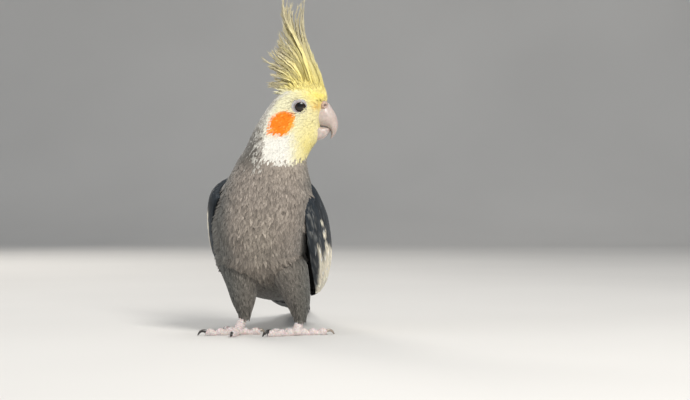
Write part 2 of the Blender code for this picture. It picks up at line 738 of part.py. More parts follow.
def claw_rows(toe, heading, length):
    """Centres and radii of a claw that arches off the end of its toe down to the floor."""
    angle = math.radians(heading)
    ahead = np.array([math.sin(angle), -math.cos(angle)])
    start = np.array(toe[-3][:3])
    rise = 1.2
    rows = []
    for t in np.linspace(0, 1, 7):
        bend = 1.75 * t
        reach = 0.3 + length * 0.62 * math.sin(min(bend, 1.57)) + 0.05 * length * t
        height = start[2] + rise * math.sin(math.pi * min(t * 1.4, 1)) * 0.9 - (start[2] - 0.35) * t ** 2
        rows.append((start[0] + ahead[0] * reach, start[1] + ahead[1] * reach, height,
                     1.0 * (1 - t) ** 0.75 + 0.12))
    return rows


def cut_back(target, tubes):
    """Cuts target back from the limbs beside it, given as rings a gap larger than they are."""
    for rings in tubes:
        boolean(target, loft("cut", rings, "skin"), "DIFFERENCE")


def build_legs():
    """Feathered shins, bare shanks, toes and claws."""
    for word in ("right", "left"):
        shin_rows = smooth_rows(SHINS[word], 10)
        shank_rows = smooth_rows(TARSI[word], 8)
        shin = loft("shin_" + word, tube_rings(shin_rows, 16), "grey_feather")
        boolean(shin, grown_body(), "DIFFERENCE")
        grown = shank_rows + (0, 0, 0, GAP)
        grown[0, 2] += 0.5
        boolean(shin, loft("cut", tube_rings(grown, 10), "skin"), "DIFFERENCE")
        keep_largest(shin)
        shank = loft("shank_" + word, tube_rings(shank_rows, 10, FLOOR), "skin")
        grown = shank_rows + (0, 0, 0, GAP)
        beside = [tube_rings(grown, 10, FLOOR - GAP)]
        for number, heading, length, pads, claw in TOES[word]:
            rows = toe_rows(FEET[word], heading, length, pads)
            fat = [(x, y, z, r + GAP) for x, y, z, r in rows]
            toe = loft(f"toe_{word}_{number}", tube_rings(rows, TOE_SIDES, FLOOR), "skin")
            cut_back(toe, beside)
            beside.append(tube_rings(fat, TOE_SIDES, FLOOR - GAP))
            rows_claw = claw_rows(rows, heading, claw)
            nail = loft(f"claw_{word}_{number}", tube_rings(rows_claw, 6, FLOOR), "claw")
            cut_back(nail, beside)
            keep_largest(toe)
            keep_largest(nail)


def centre_on_floor():
    """Moves the bird so that the origin is the bottom centre of its box."""
    points = np.vstack([[tuple(v.co) for v in item.data.vertices] for item in bird.objects])
    low, high = points.min(0), points.max(0)
    shift = Vector((-(low[0] + high[0]) / 2, -(low[1] + high[1]) / 2, 0))
    for item in bird.objects:
        for vert in item.data.vertices:
            vert.co += shift


clear_scene()
vary = np.random.default_rng(SEED)
bird = bpy.data.collections.new("cockatiel")
bpy.context.scene.collection.children.link(bird)
build_head(build_body())
build_wings()
build_tail()
build_legs()
centre_on_floor()
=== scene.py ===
"""Looks of the standing cockatiel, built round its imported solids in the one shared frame.

Design sizes are in millimetres from the floor point between the feet, as in the solids' source.
`Place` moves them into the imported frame, in metres. The chest faces -Y, the bill points along +X
and +Z is up. Plumage is made of vanes laid over one skin, and every colour of the plumage comes
from a function of place, which skin and coat share.
"""

import logging
import math
from dataclasses import dataclass, fields
from enum import Enum
from typing import Callable

import bpy
import numpy as np
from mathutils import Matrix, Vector
from numpy.typing import NDArray


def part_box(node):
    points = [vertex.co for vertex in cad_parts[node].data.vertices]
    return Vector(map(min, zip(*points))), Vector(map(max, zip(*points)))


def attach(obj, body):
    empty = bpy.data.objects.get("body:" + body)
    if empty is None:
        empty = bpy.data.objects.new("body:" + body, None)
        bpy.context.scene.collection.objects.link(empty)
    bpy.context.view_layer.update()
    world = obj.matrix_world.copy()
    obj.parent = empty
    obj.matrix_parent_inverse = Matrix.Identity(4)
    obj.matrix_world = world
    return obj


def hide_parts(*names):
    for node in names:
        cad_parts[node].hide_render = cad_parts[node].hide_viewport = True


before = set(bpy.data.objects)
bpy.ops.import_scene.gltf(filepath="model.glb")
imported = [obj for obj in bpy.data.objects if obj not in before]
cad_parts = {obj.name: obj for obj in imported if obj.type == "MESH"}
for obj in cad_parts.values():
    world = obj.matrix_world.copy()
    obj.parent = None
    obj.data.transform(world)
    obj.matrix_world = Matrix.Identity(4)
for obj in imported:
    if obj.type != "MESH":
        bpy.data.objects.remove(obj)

Array = NDArray[np.float64]
Colour = tuple[float, float, float]

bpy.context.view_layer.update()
MM = 0.001
SEED = 21
# Sine waves of each noise, and what their mean is multiplied by.
WAVES = 8
WAVE_GAIN = 1.6
PIECE_TRIANGLES = 180_000
# Half size of a feather's patch in the OFBake map.
BAKE_PATCH = 0.0015

# The part of a noise texture's values that is spread to a full range, and how strongly a feather's
# tint shifts the place its barbs are read from.
NOISE_RANGE = (0.3, 0.7)
TINT_TO_SEED = 91.0

log = logging.getLogger("cockatiel")

# How far the head is turned from the side view, and where its axis lies in Y.
HEAD_YAW = math.radians(5.0)
HEAD_SHIFT = -2.0

# Body rings from rump to crown: middle in X, Y and Z, tilt and turn in degrees, half sizes to the
# right, left, back and front, and how much the depth narrows towards +X.
BODY = np.array([
    (0.0, 71.0, 20.5, 77, 0, 4.5, 4.5, 2.6, 2.6, 0.0),
    (-0.5, 60.0, 24.0, 72, 0, 11.0, 11.0, 7.0, 7.5, 0.0),
    (-1.8, 47.0, 30.0, 64, 0, 17.0, 17.5, 11.0, 13.5, 0.0),
    (-4.2, 33.0, 38.0, 55, 0, 22.6, 23.8, 15.5, 20.0, 0.0),
    (-6.0, 20.0, 48.0, 46, 0, 26.2, 27.4, 20.0, 25.0, 0.0),
    (-5.2, 9.0, 59.0, 37, 0, 26.6, 27.4, 22.0, 27.5, 0.0),
    (-3.4, 1.0, 70.0, 27, 0, 27.8, 28.4, 22.0, 26.5, 0.0),
    (-0.6, -3.0, 80.0, 17, 0, 28.0, 27.2, 21.0, 23.5, 0.0),
    (0.6, -4.0, 89.0, 9, 0, 25.4, 25.4, 19.0, 20.0, 0.0),
    (1.4, -3.5, 97.0, 3, 1, 22.6, 21.8, 17.5, 17.0, 0.0),
    (2.8, -3.0, 104.0, 0, 3, 20.6, 19.5, 16.2, 16.0, 0.05),
    (5.5, -2.2, 110.0, 0, 5, 20.6, 18.4, 16.0, 16.0, 0.12),
    (8.6, -1.6, 116.0, 0, 5, 21.6, 18.8, 15.6, 15.6, 0.2),
    (11.0, -1.4, 122.5, 0, 5, 21.0, 18.0, 15.0, 15.0, 0.27),
    (13.2, -1.2, 129.0, 0, 5, 20.6, 16.2, 14.2, 14.2, 0.27),
    (15.6, -1.0, 135.0, 0, 5, 19.4, 14.4, 12.8, 12.8, 0.24),
    (18.4, -0.8, 140.5, 0, 5, 16.6, 12.8, 10.4, 10.4, 0.2),
    (20.4, -0.6, 144.4, 0, 5, 11.6, 9.0, 7.0, 7.0, 0.15),
    (21.2, -0.5, 146.4, 0, 5, 4.4, 3.6, 2.8, 2.8, 0.1),
], float)
# Power of cosine and sine in the body's rings.
FULLNESS = 0.92

# Folded wing: depth and height of its centre line, half width, half rise, lower and upper angle.
WING = np.array([
    (-9.0, 86.0, 27.0, 15.0, -29.0, 62.0),
    (-5.0, 82.0, 33.0, 19.0, -35.0, 68.0),
    (8.0, 67.0, 36.6, 23.5, -41.0, 74.0),
    (24.0, 50.5, 36.6, 23.5, -41.0, 79.0),
    (42.0, 37.0, 31.0, 20.0, -37.0, 82.0),
    (64.0, 27.5, 22.5, 14.5, -31.0, 84.0),
    (92.0, 21.0, 14.0, 9.0, -26.0, 84.0),
    (118.0, 17.0, 8.5, 5.5, -24.0, 82.0),
    (139.0, 14.8, 5.0, 3.2, -20.0, 78.0),
], float)
# Depths where the table starts and ends, and the greatest angle of the face.
WING_SPAN = (-9.0, 139.0)
WING_TOP = 85.0
# The left wing is held closer than the right at its bend and further off at its tip, as shares of
# the table's width at some depths. Belly feathers hide the right one's lower edge.
WING_WIDTH = {
    1: ((-9.0, 8.0, 24.0, 42.0, 64.0, 92.0, 139.0), (0.86, 0.93, 0.95, 1.03, 1.18, 1.15, 1.0)),
    -1: ((-9.0, 139.0), (1.0, 1.0)),
}
WING_LOW = {1: 1.0, -1: 0.6}

# Tail: depth and height of its centre line, half width, half thickness.
TAIL = np.array([
    (61.0, 22.6, 9.5, 3.6),
    (74.0, 19.6, 10.5, 3.2),
    (100.0, 14.4, 11.0, 2.4),
    (130.0, 9.2, 10.0, 1.8),
    (160.0, 4.8, 7.5, 1.4),
    (182.0, 1.6, 4.6, 1.0),
    (207.0, 0.6, 1.2, 0.6),
], float)
# Tail feathers from the middle pair out: how far aside at root and tip, depth of the tip, half
# width and lift.
TAIL_PAIRS = (
    (1.6, 0.9, 207.0, 3.0, 0.9),
    (3.2, 2.6, 196.0, 3.2, 0.45),
    (4.8, 4.2, 184.0, 3.2, 0.1),
    (6.3, 5.7, 170.0, 3.1, -0.25),
    (7.6, 7.1, 156.0, 3.0, -0.6),
    (8.8, 8.5, 142.0, 2.9, -0.95),
)

# Eyes, in the head's own forward and height: the balls, and the half sizes of their openings.
EYE_AT = (19.2, 134.3)
EYE_RADIUS = 5.6
EYE_DEPTH = 7.5
EYE_OPENING = (3.2, 2.75)
LID_SHIFT = (0.2, -0.75)

# Upper bill from its root to its tip: outer ridge point, inner edge point and half width.
UPPER_BILL = np.array([
    (30.6, 136.6, 27.4, 123.6, 5.6),
    (35.3, 137.0, 30.0, 123.0, 6.2),
    (38.3, 133.2, 33.0, 122.8, 6.0),
    (40.3, 129.6, 34.8, 122.4, 5.4),
    (41.3, 126.2, 36.1, 121.6, 4.6),
    (41.4, 122.8, 37.0, 120.4, 3.6),
    (40.6, 119.8, 37.3, 118.8, 2.5),
    (39.2, 117.4, 37.3, 117.2, 1.4),
    (37.7, 115.9, 37.1, 116.1, 0.4),
], float)
# Lower bill from root to tip: forward, top, bottom and half width.
LOWER_BILL = np.array([
    (27.4, 122.2, 114.6, 4.8),
    (30.0, 122.2, 114.9, 5.0),
    (33.0, 122.0, 116.2, 4.5),
    (35.2, 121.8, 118.2, 3.3),
    (36.4, 121.6, 120.2, 1.7),
], float)
# Cere: middle, half sizes forward, aside and up, and the nostril.
CERE_AT = (32.9, 134.6)
CERE_HALF = (3.1, 6.3, 4.0)
NOSTRIL_AT = (34.0, 134.9)

# Limbs from the top down: middle in X, Y and Z, and radius.
SHINS = {
    "right": [(-15, 10, 47, 15.5), (-16, 6, 38, 13.2), (-15.6, 3, 28, 9.4), (-14.9, 2, 19, 6.8),
              (-14.3, 2, 11.5, 3.9)],
    "left": [(9, 9, 47, 12.5), (11, 6, 38, 12.2), (14.8, 3, 28, 9.8), (17.4, 2, 19, 7.3),
             (18.7, 2, 9.5, 4.0)],
}
TARSI = {
    "right": [(-14.4, 2.2, 14.8, 2.5), (-15.4, 1.4, 8.8, 2.5), (-17.2, 0.4, 4.6, 2.8),
              (-18, 0, 2, 3.2)],
    "left": [(18.6, 2.4, 12.6, 2.5), (18.4, 1.6, 7.8, 2.6), (17.6, 0.6, 4.4, 2.9),
             (17, 0, 2, 3.2)],
}
FEET = {"right": (-18.0, 0.0), "left": (17.0, 0.0)}
# Toes: number, heading in degrees from -Y turning to +X, length, pads, claw length, pale claw.
TOES = {
    "right": [(1, 112, 13, 2, 5.5, 1), (2, -4, 14.5, 2, 6, 0), (3, -72, 18.5, 3, 9, 0),
              (4, -146, 16.5, 3, 7, 0)],
    "left": [(1, 186, 12, 2, 5.5, 1), (2, -86, 15, 2, 6.5, 0), (3, -54, 18.5, 3, 7.5, 0),
             (4, 106, 17.5, 3, 8.5, 1)],
}

# Crest feathers from front to back: forward and height in the turned head's directions at the
# root, at three bends and at the tip.
CREST = np.array([
    (34.2, 141.4, 30.9, 154.2, 25.4, 166.6, 21.3, 181.1, 21.8, 200.6),
    (30.8, 142.6, 26.7, 156.4, 20.5, 170.7, 18.0, 184.1, 20.1, 195.3),
    (29.4, 143.8, 23.8, 161.1, 16.8, 174.5, 13.2, 187.0, 14.5, 194.7),
    (27.4, 144.8, 21.2, 165.2, 13.9, 180.2, 10.1, 189.4, 9.0, 200.0),
    (25.5, 145.3, 20.7, 162.3, 15.5, 172.0, 9.9, 181.7, 11.0, 187.6),
    (24.0, 145.8, 19.5, 158.7, 12.2, 167.9, 8.9, 172.0, 6.9, 176.4),
    (23.0, 145.8, 18.9, 157.9, 13.0, 164.6, 8.9, 168.2, 6.7, 171.7),
    (22.0, 145.8, 17.1, 157.5, 11.8, 162.8, 8.0, 166.1, 5.3, 169.0),
    (21.0, 145.8, 18.9, 152.2, 11.8, 158.7, 5.6, 163.4, 2.5, 167.6),
    (20.0, 146.0, 17.1, 150.9, 9.4, 156.4, 1.8, 159.9, -2.0, 162.6),
    (19.0, 146.0, 14.8, 151.0, 9.4, 154.6, 4.1, 156.6, 0.6, 157.8),
    (18.0, 145.8, 13.9, 150.0, 10.6, 151.6, 7.1, 152.5, 3.2, 153.1),
    (17.0, 145.6, 15.3, 147.5, 11.0, 148.9, 5.9, 148.9, 1.5, 148.4),
    (15.0, 144.9, 13.0, 145.8, 10.0, 146.2, 5.9, 146.6, 1.0, 146.7),
], float)


class Side(Enum):
    """The bird's own sides, as the sign of X on the body."""

    LEFT = 1
    RIGHT = -1

    @property
    def word(self) -> str:
        """The side's name in the nodes' names."""
        return self.name.lower()


def head_point(forward: Array, side: Array, height: Array) -> Array:
    """Turns the head's own directions into design millimetres.

    Args:
        forward: towards the bill.
        side: towards the bird's left cheek.
        height: above the floor.

    Returns:
        Points, one row each.
    """
    forward, side, height = np.broadcast_arrays(forward, side, height)
    c, s = math.cos(HEAD_YAW), math.sin(HEAD_YAW)
    return np.stack([forward * c - side * s, forward * s + side * c + HEAD_SHIFT, height], -1)


def head_place(points: Array) -> tuple[Array, Array, Array]:
    """Forward, side and height of design points, the reverse of `head_point`."""
    c, s = math.cos(HEAD_YAW), math.sin(HEAD_YAW)
    x, y = points[..., 0], points[..., 1] - HEAD_SHIFT
    return x * c + y * s, -x * s + y * c, points[..., 2]


def head_way(forward: Array, side: Array, height: Array) -> Array:
    """A direction, given in the head's own terms."""
    return head_point(forward, side, height) - head_point(0.0, 0.0, 0.0)


def unit(vectors: Array) -> Array:
    """The same vectors, one unit long."""
    return vectors / np.maximum(np.linalg.norm(vectors, axis=-1, keepdims=True), 1e-9)


def laid(vectors: Array, normal: Array) -> Array:
    """Unit vectors, turned into the plane that a unit normal stands on."""
    return unit(vectors - normal * (vectors * normal).sum(-1, keepdims=True))


def turns(count: int) -> Array:
    """Angles, evenly round one full turn."""
    return np.linspace(0, 2 * np.pi, count, endpoint=False)


def lattice(first: Array, second: Array) -> tuple[Array, ...]:
    """Both values at each crossing, with the first running from row to row."""
    return tuple(np.meshgrid(first, second, indexing="ij"))


def between(ends: tuple[float, float], share: Array) -> Array:
    """Values that run evenly from the first end at 0 to the second at 1."""
    return ends[0] + (ends[1] - ends[0]) * share


def smoothstep(value: Array, low: float, high: float) -> Array:
    """0 below low, 1 above high, smooth between."""
    t = np.clip((value - low) / (high - low), 0, 1)
    return t * t * (3 - 2 * t)


def fade(value: Array, low: float, high: float) -> Array:
    """1 below low, 0 above high, smooth between."""
    return smoothstep(-value, -high, -low)


def glow(*terms: tuple[Array, float, float]) -> Array:
    """A bell, 1 where all values are at their centres. A term is value, centre and width."""
    return np.exp(-sum(((value - centre) / width) ** 2 for value, centre, width in terms))


def blend(a: Array, b: Array, share: Array) -> Array:
    """Mixes two colours by a share for each point."""
    share = np.asarray(share)[..., None]
    return np.asarray(a) * (1 - share) + np.asarray(b) * share


def layered(base: Array, *layers: tuple[Array, Array]) -> Array:
    """Lays colours over a base one after the other, each by its own share."""
    for colour, share in layers:
        base = blend(base, colour, share)
    return base


def curve(table: Array, at: Array) -> Array:
    """Reads a Catmull-Rom curve through the rows of a table.

    Args:
        table: one row for each key.
        at: places along it, where whole numbers are the keys.

    Returns:
        The cubic that passes through each key with the slope of its neighbours' chord.
    """
    padded = np.vstack([2 * table[0] - table[1], table, 2 * table[-1] - table[-2]])
    first = np.clip(np.floor(at).astype(int), 0, len(table) - 2)
    t = (at - first)[..., None]
    a, b, c, d = (padded[first + k] for k in range(4))
    return b + 0.5 * t * (c - a + t * (2 * a - 5 * b + 4 * c - d + t * (3 * (b - c) + d - a)))


def ripple(points: Array, size: float, seed: int) -> Array:
    """Smooth noise, mostly from -1 to 1, as a sum of sine waves of random direction and phase.

    Args:
        points: where.
        size: the middle length of a wave, in millimetres.
        seed: gives each use its own waves.

    Returns:
        A number for each point.
    """
    rng = np.random.default_rng(seed)
    turn = 2 * np.pi
    waves = unit(rng.normal(size=(WAVES, 3))) * rng.uniform(0.6, 1.6, (WAVES, 1)) * turn / size
    return np.sin(points @ waves.T + rng.uniform(0, turn, WAVES)).sum(-1) / WAVES * WAVE_GAIN


@dataclass(frozen=True)
class Place:
    """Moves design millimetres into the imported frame."""

    shift: Array

    @classmethod
    def from_frame(cls) -> "Place":
        """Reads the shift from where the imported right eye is."""
        low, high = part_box("eye_right")
        centre = (np.array(low) + np.array(high)) / 2 / MM
        return cls(centre - head_point(EYE_AT[0], -EYE_DEPTH, EYE_AT[1]))

    def metres(self, points: Array) -> Array:
        """Design points as metres in the row frame."""
        return (points + self.shift) * MM


PLACE = Place.from_frame()


class Graph:
    """A short way to write shader nodes."""

    def __init__(self, tree: bpy.types.NodeTree) -> None:
        self.tree = tree

    def node(self, kind: str, *sources: object, **settings: object) -> bpy.types.Node:
        """Adds a node.

        Args:
            kind: the node's type without its "ShaderNode" start.
            sources: for each input in order, a socket to link, a constant, or None.
            settings: the node's own properties.

        Returns:
            The node.
        """
        made = self.tree.nodes.new("ShaderNode" + kind)
        for name, value in settings.items():
            setattr(made, name, value)
        for index, source in enumerate(sources):
            self.feed(made.inputs[index], source)
        return made

    def feed(self, target: bpy.types.NodeSocket, source: object) -> None:
        """Links a socket, or sets a constant on it."""
        if isinstance(source, bpy.types.NodeSocket):
            self.tree.links.new(source, target)
        elif source is not None:
            target.default_value = source

    def math(self, operation: str, *sources: object) -> bpy.types.NodeSocket:
        """A math node's result."""
        return self.node("Math", *sources, operation=operation).outputs[0]

    def spread(self, value: object, low: float, high: float, to_low: float,
               to_high: float) -> bpy.types.NodeSocket:
        """Maps a value from one range to another, clamped."""
        made = self.node("MapRange", value, low, high, to_low, to_high, clamp=True)
        return made.outputs[0]

    def mix(self, share: object, a: object, b: object, how: str = "MIX") -> bpy.types.NodeSocket:
        """Mixes two colours."""
        made = self.tree.nodes.new("ShaderNodeMix")
        made.data_type = "RGBA"
        made.blend_type = how
        for index, source in ((0, share), (6, a), (7, b)):
            self.feed(made.inputs[index], source)
        return made.outputs[2]

    def scale(self, colour: object, factor: object) -> bpy.types.NodeSocket:
        """A colour times a factor."""
        made = self.tree.nodes.new("ShaderNodeVectorMath")
        made.operation = "SCALE"
        self.feed(made.inputs[0], colour)
        self.feed(made.inputs["Scale"], factor)
        return made.outputs[0]

    def noise(self, where: bpy.types.NodeSocket, scale: object,
              detail: float | None = None) -> bpy.types.NodeSocket:
        """Cloudy noise, with the node's own detail if none is given."""
        made = self.node("TexNoise", where)
        self.feed(made.inputs["Scale"], scale)
        self.feed(made.inputs["Detail"], detail)
        return made.outputs["Fac"]

    def attribute(self, name: str) -> bpy.types.Node:
        """A mesh attribute."""
        return self.node("Attribute", attribute_name=name)


class GroupGraph(Graph):
    """A new shader node group whose sockets are all numbers."""

    def __init__(self, name: str, inputs: tuple[str, ...], outputs: tuple[str, ...]) -> None:
        tree = bpy.data.node_groups.new(name, "ShaderNodeTree")
        for way, titles in (("INPUT", inputs), ("OUTPUT", outputs)):
            for title in titles:
                tree.interface.new_socket(title, in_out=way, socket_type="NodeSocketFloat")
        super().__init__(tree)
        self.start = tree.nodes.new("NodeGroupInput")
        self.end = tree.nodes.new("NodeGroupOutput")

    def taken(self, title: str) -> bpy.types.NodeSocket:
        """What the group is given under a name."""
        return self.start.outputs[title]

    def give(self, title: str, value: bpy.types.NodeSocket) -> None:
        """Gives a result out under a name."""
        self.feed(self.end.inputs[title], value)


def barbs_group() -> bpy.types.NodeTree:
    """The barbs of a vane: they leave the shaft at a slant, in uneven strands.

    Returns:
        A group that gives a streak value, a height and a mask of the shaft from the attribute
        "vane", which holds the place along, the place across and the vane's own tint.
    """
    found = bpy.data.node_groups.get("Barbs")
    if found:
        return found
    graph = GroupGraph("Barbs", ("Count", "Slant"), ("Streak", "Height", "Shaft"))
    parts = graph.node("SeparateXYZ", graph.attribute("vane").outputs["Vector"])
    along, across, tint = parts.outputs
    out = graph.math("ABSOLUTE", across)
    slant = graph.math("MULTIPLY", out, graph.taken("Slant"))
    line = graph.math("MULTIPLY", graph.math("SUBTRACT", along, slant), graph.taken("Count"))
    seed = graph.math("MULTIPLY", tint, TINT_TO_SEED)
    seed = graph.math("ADD", seed, graph.math("SIGN", across))
    where = graph.node("CombineXYZ", line, seed, graph.math("MULTIPLY", out, 1.5))
    noise = graph.noise(where.outputs[0], scale=1.0, detail=3.0)
    graph.give("Streak", graph.spread(noise, *NOISE_RANGE, 0.0, 1.0))
    graph.give("Height", noise)
    graph.give("Shaft", graph.spread(out, 0.03, 0.09, 1.0, 0.0))
    return graph.tree


def grain_group() -> bpy.types.NodeTree:
    """Fine wrinkled grain of bare skin and horn, from Object coordinates."""
    found = bpy.data.node_groups.get("Grain")
    if found:
        return found
    graph = GroupGraph("Grain", ("Scale",), ("Cells", "Noise"))
    where = graph.node("TexCoord").outputs["Object"]
    cells = graph.node("TexVoronoi", where, feature="DISTANCE_TO_EDGE")
    graph.feed(cells.inputs["Scale"], graph.taken("Scale"))
    graph.give("Cells", graph.spread(cells.outputs["Distance"], 0.0, 0.16, 0.0, 1.0))
    graph.give("Noise", graph.noise(where, scale=graph.taken("Scale"), detail=4.0))
    return graph.tree


@dataclass(frozen=True)
class Finish:
    """A material that reads its colour from the attribute "pigment"."""

    name: str
    roughness: float
    specular: float = 0.4

    def material(self) -> bpy.types.Material:
        """The material, made once."""
        found = bpy.data.materials.get(self.name)
        if found:
            return found
        made = bpy.data.materials.new(self.name)
        made.use_nodes = True
        graph = Graph(made.node_tree)
        shader = made.node_tree.nodes["Principled BSDF"]
        shader.inputs["Roughness"].default_value = self.roughness
        shader.inputs["Specular IOR Level"].default_value = self.specular
        self.wire(graph, shader, graph.attribute("pigment").outputs["Color"])
        return made

    def wire(self, graph: Graph, shader: bpy.types.Node, pigment: bpy.types.NodeSocket) -> None:
        """Links the pigment straight in."""
        graph.feed(shader.inputs["Base Color"], pigment)

    def bump(self, graph: Graph, shader: bpy.types.Node, height: bpy.types.NodeSocket,
             strength: float, distance: float) -> None:
        """Adds a bump to the shader's normal."""
        made = graph.node("Bump")
        made.inputs["Strength"].default_value = strength
        made.inputs["Distance"].default_value = distance
        graph.feed(made.inputs["Height"], height)
        graph.feed(shader.inputs["Normal"], made.outputs[0])


@dataclass(frozen=True)
class FeatherFinish(Finish):
    """Feather with barbs, a darker root and its own tint.

    Attributes:
        count, slant: of the barbs' strands along a vane.
        contrast: between the strands.
        tint: between feathers.
        root: brightness of a feather's root, as a share of its end's; a painted shade, where the
            root lies under the feathers over it.
        sheen: weight of the shader's sheen.
        shaft: how far the shaft takes its own colour.
        shaft_colour: that colour.
        relief: strength of the bump and its height in metres.
    """

    count: float = 14.0
    slant: float = 0.5
    contrast: float = 0.5
    tint: float = 0.35
    root: float = 0.6
    sheen: float = 0.25
    shaft: float = 0.0
    shaft_colour: tuple[float, ...] = (0.32, 0.27, 0.2, 1.0)
    relief: tuple[float, float] = (0.5, 0.00025)

    def wire(self, graph: Graph, shader: bpy.types.Node, pigment: bpy.types.NodeSocket) -> None:
        """Shades the pigment by barb, by place along the vane and by the vane's tint."""
        group = graph.node("Group", node_tree=barbs_group())
        group.inputs["Count"].default_value = self.count
        group.inputs["Slant"].default_value = self.slant
        parts = graph.node("SeparateXYZ", graph.attribute("vane").outputs["Vector"])
        along, _, tint = parts.outputs
        low = 1 - self.contrast / 2
        value = graph.spread(group.outputs["Streak"], 0.0, 1.0, low, low + self.contrast)
        # Painted shade: darker towards the root, which lies under the feathers over it.
        value = graph.math("MULTIPLY", value, graph.spread(along, 0.1, 0.75, self.root, 1.0))
        half = self.tint / 2
        value = graph.math("MULTIPLY", value, graph.spread(tint, 0.0, 1.0, 1 - half, 1 + half))
        colour = graph.scale(pigment, value)
        if self.shaft:
            share = graph.math("MULTIPLY", group.outputs["Shaft"], self.shaft)
            colour = graph.mix(share, colour, self.shaft_colour)
        graph.feed(shader.inputs["Base Color"], colour)
        shader.inputs["Sheen Weight"].default_value = self.sheen
        shader.inputs["Sheen Roughness"].default_value = 0.5
        self.bump(graph, shader, group.outputs["Height"], *self.relief)


@dataclass(frozen=True)
class BareFinish(Finish):
    """Bare skin, scales or horn with a fine grain.

    Attributes:
        scale: of the grain's cells.
        depth: strength of the grain's bump, relief its height in metres.
        under: weight of the light that scatters under the surface, to under_reach in metres.
        coat: weight of a clear coat.
        cells: how dark the lines between the cells are.
    """

    scale: float = 1400.0
    depth: float = 0.35
    under: float = 0.12
    coat: float = 0.0
    cells: float = 0.25
    relief: float = 0.0002
    under_reach: float = 0.0015

    def wire(self, graph: Graph, shader: bpy.types.Node, pigment: bpy.types.NodeSocket) -> None:
        """Darkens the pigment between the grain's cells and raises the cells."""
        group = graph.node("Group", node_tree=grain_group())
        group.inputs["Scale"].default_value = self.scale
        shade = graph.spread(group.outputs["Cells"], 0.0, 1.0, 1 - self.cells, 1.0)
        cloud = graph.spread(group.outputs["Noise"], *NOISE_RANGE, 0.88, 1.08)
        colour = graph.scale(pigment, graph.math("MULTIPLY", shade, cloud))
        graph.feed(shader.inputs["Base Color"], colour)
        shader.inputs["Subsurface Weight"].default_value = self.under
        shader.inputs["Subsurface Scale"].default_value = self.under_reach
        shader.inputs["Coat Weight"].default_value = self.coat
        shader.inputs["Coat Roughness"].default_value = 0.25
        self.bump(graph, shader, group.outputs["Cells"], self.depth, self.relief)


BODY_COAT = FeatherFinish("body_feather", 0.85, 0.2, count=7.0, slant=0.35, contrast=0.75,
                          tint=0.5)
FACE_COAT = FeatherFinish("face_feather_coat", 0.85, 0.2, count=5.0, slant=0.3, contrast=0.3,
                          tint=0.16, root=0.85, sheen=0.3)
CREST_COAT = FeatherFinish("crest_feather", 0.7, 0.25, count=26.0, slant=0.35, contrast=0.45,
                           tint=0.3, root=0.95, sheen=0.3)
WING_COAT = FeatherFinish("wing_vane", 0.55, 0.35, count=34.0, slant=0.25, contrast=0.32,
                          tint=0.25, root=0.75, sheen=0.12, shaft=0.35)
COVERT_COAT = FeatherFinish("covert_vane", 0.6, 0.25, count=12.0, slant=0.35, contrast=0.5,
                            tint=0.4, root=0.7, sheen=0.06, shaft=0.05)
TAIL_COAT = FeatherFinish("tail_vane", 0.5, 0.35, count=60.0, slant=0.12, contrast=0.3,
                          tint=0.2, root=0.8, sheen=0.12, shaft=0.4)
UNDER_SKIN = Finish("under_skin", 0.9, 0.2)
BARE_SKIN = BareFinish("bare_skin", 0.55, scale=1500.0, depth=0.5, under=0.2)
HORN = BareFinish("bill_horn", 0.36, 0.45, scale=420.0, depth=0.12, under=0.15, coat=0.15,
                  cells=0.06)
SCALES = BareFinish("foot_scales", 0.5, scale=1000.0, depth=0.45, under=0.15, coat=0.05,
                    cells=0.16)
CLAW = BareFinish("claw_horn", 0.3, 0.5, scale=600.0, depth=0.1, under=0.05, coat=0.3,
                  cells=0.05)
EYE = BareFinish("eye_wet", 0.06, 0.3, scale=900.0, depth=0.0, under=0.0, coat=0.5, cells=0.0)


def grid_faces(rows: int, columns: int, wraps: bool) -> Array:
    """Quads of a grid of points, whose last column joins the first if it wraps."""
    here = np.arange(columns if wraps else columns - 1)
    after = (here + 1) % columns
    start = np.arange(rows - 1)[:, None] * columns
    return np.stack([start + here, start + after, start + columns + after, start + columns + here],
                    -1).reshape(-1, 4)


def repeat_faces(faces: Array, count: int, points: int) -> Array:
    """The same faces for many copies, each with its own points."""
    return (faces[None] + (np.arange(count) * points)[:, None, None]).reshape(-1, faces.shape[1])


def close_tube(points: Array, pigment: Array, both: bool = True
               ) -> tuple[Array, Array, list[Array]]:
    """Closes a tube of rings with a point in the middle of its last ring, or of both ends.

    Args:
        points: one ring in each row.
        pigment: their colours.
        both: whether the first ring is closed too.

    Returns:
        Points and colours as plain rows, and the faces.
    """
    rows, columns = points.shape[:2]
    ring = np.arange(columns)
    sides = (ring, np.roll(ring, -1))
    faces = [grid_faces(rows, columns, True)]
    ends = (0, -1) if both else (-1,)
    for number, end in enumerate(ends):
        base = end % rows * columns
        first, second = sides if end else sides[::-1]
        corner = np.full(columns, rows * columns + number)
        faces.append(np.stack([corner, base + first, base + second], 1))
    tips = [points[end].mean(0) for end in ends]
    tints = [pigment[end, end] for end in ends]
    return (np.vstack([points.reshape(-1, 3), *tips]), np.vstack([pigment.reshape(-1, 3), *tints]),
            faces)


def ball_grid(rows: int, columns: int, gap: float = 0.0) -> tuple[Array, Array, Array]:
    """Angles from the pole, angles round it, and the points of a ball one unit in radius.

    Args:
        rows, columns: the grid.
        gap: the angle left open at each pole.

    Returns:
        The three grids.
    """
    polar, around = lattice(np.linspace(gap, np.pi - gap, rows), turns(columns))
    ball = [np.sin(polar) * np.cos(around), np.sin(polar) * np.sin(around), np.cos(polar)]
    return polar, around, np.stack(ball, -1)


def above_floor(points: Array, least: float = 0.0) -> Array:
    """The same points, with none lower than the least height."""
    return np.concatenate([points[..., :2], np.maximum(points[..., 2:], least)], -1)


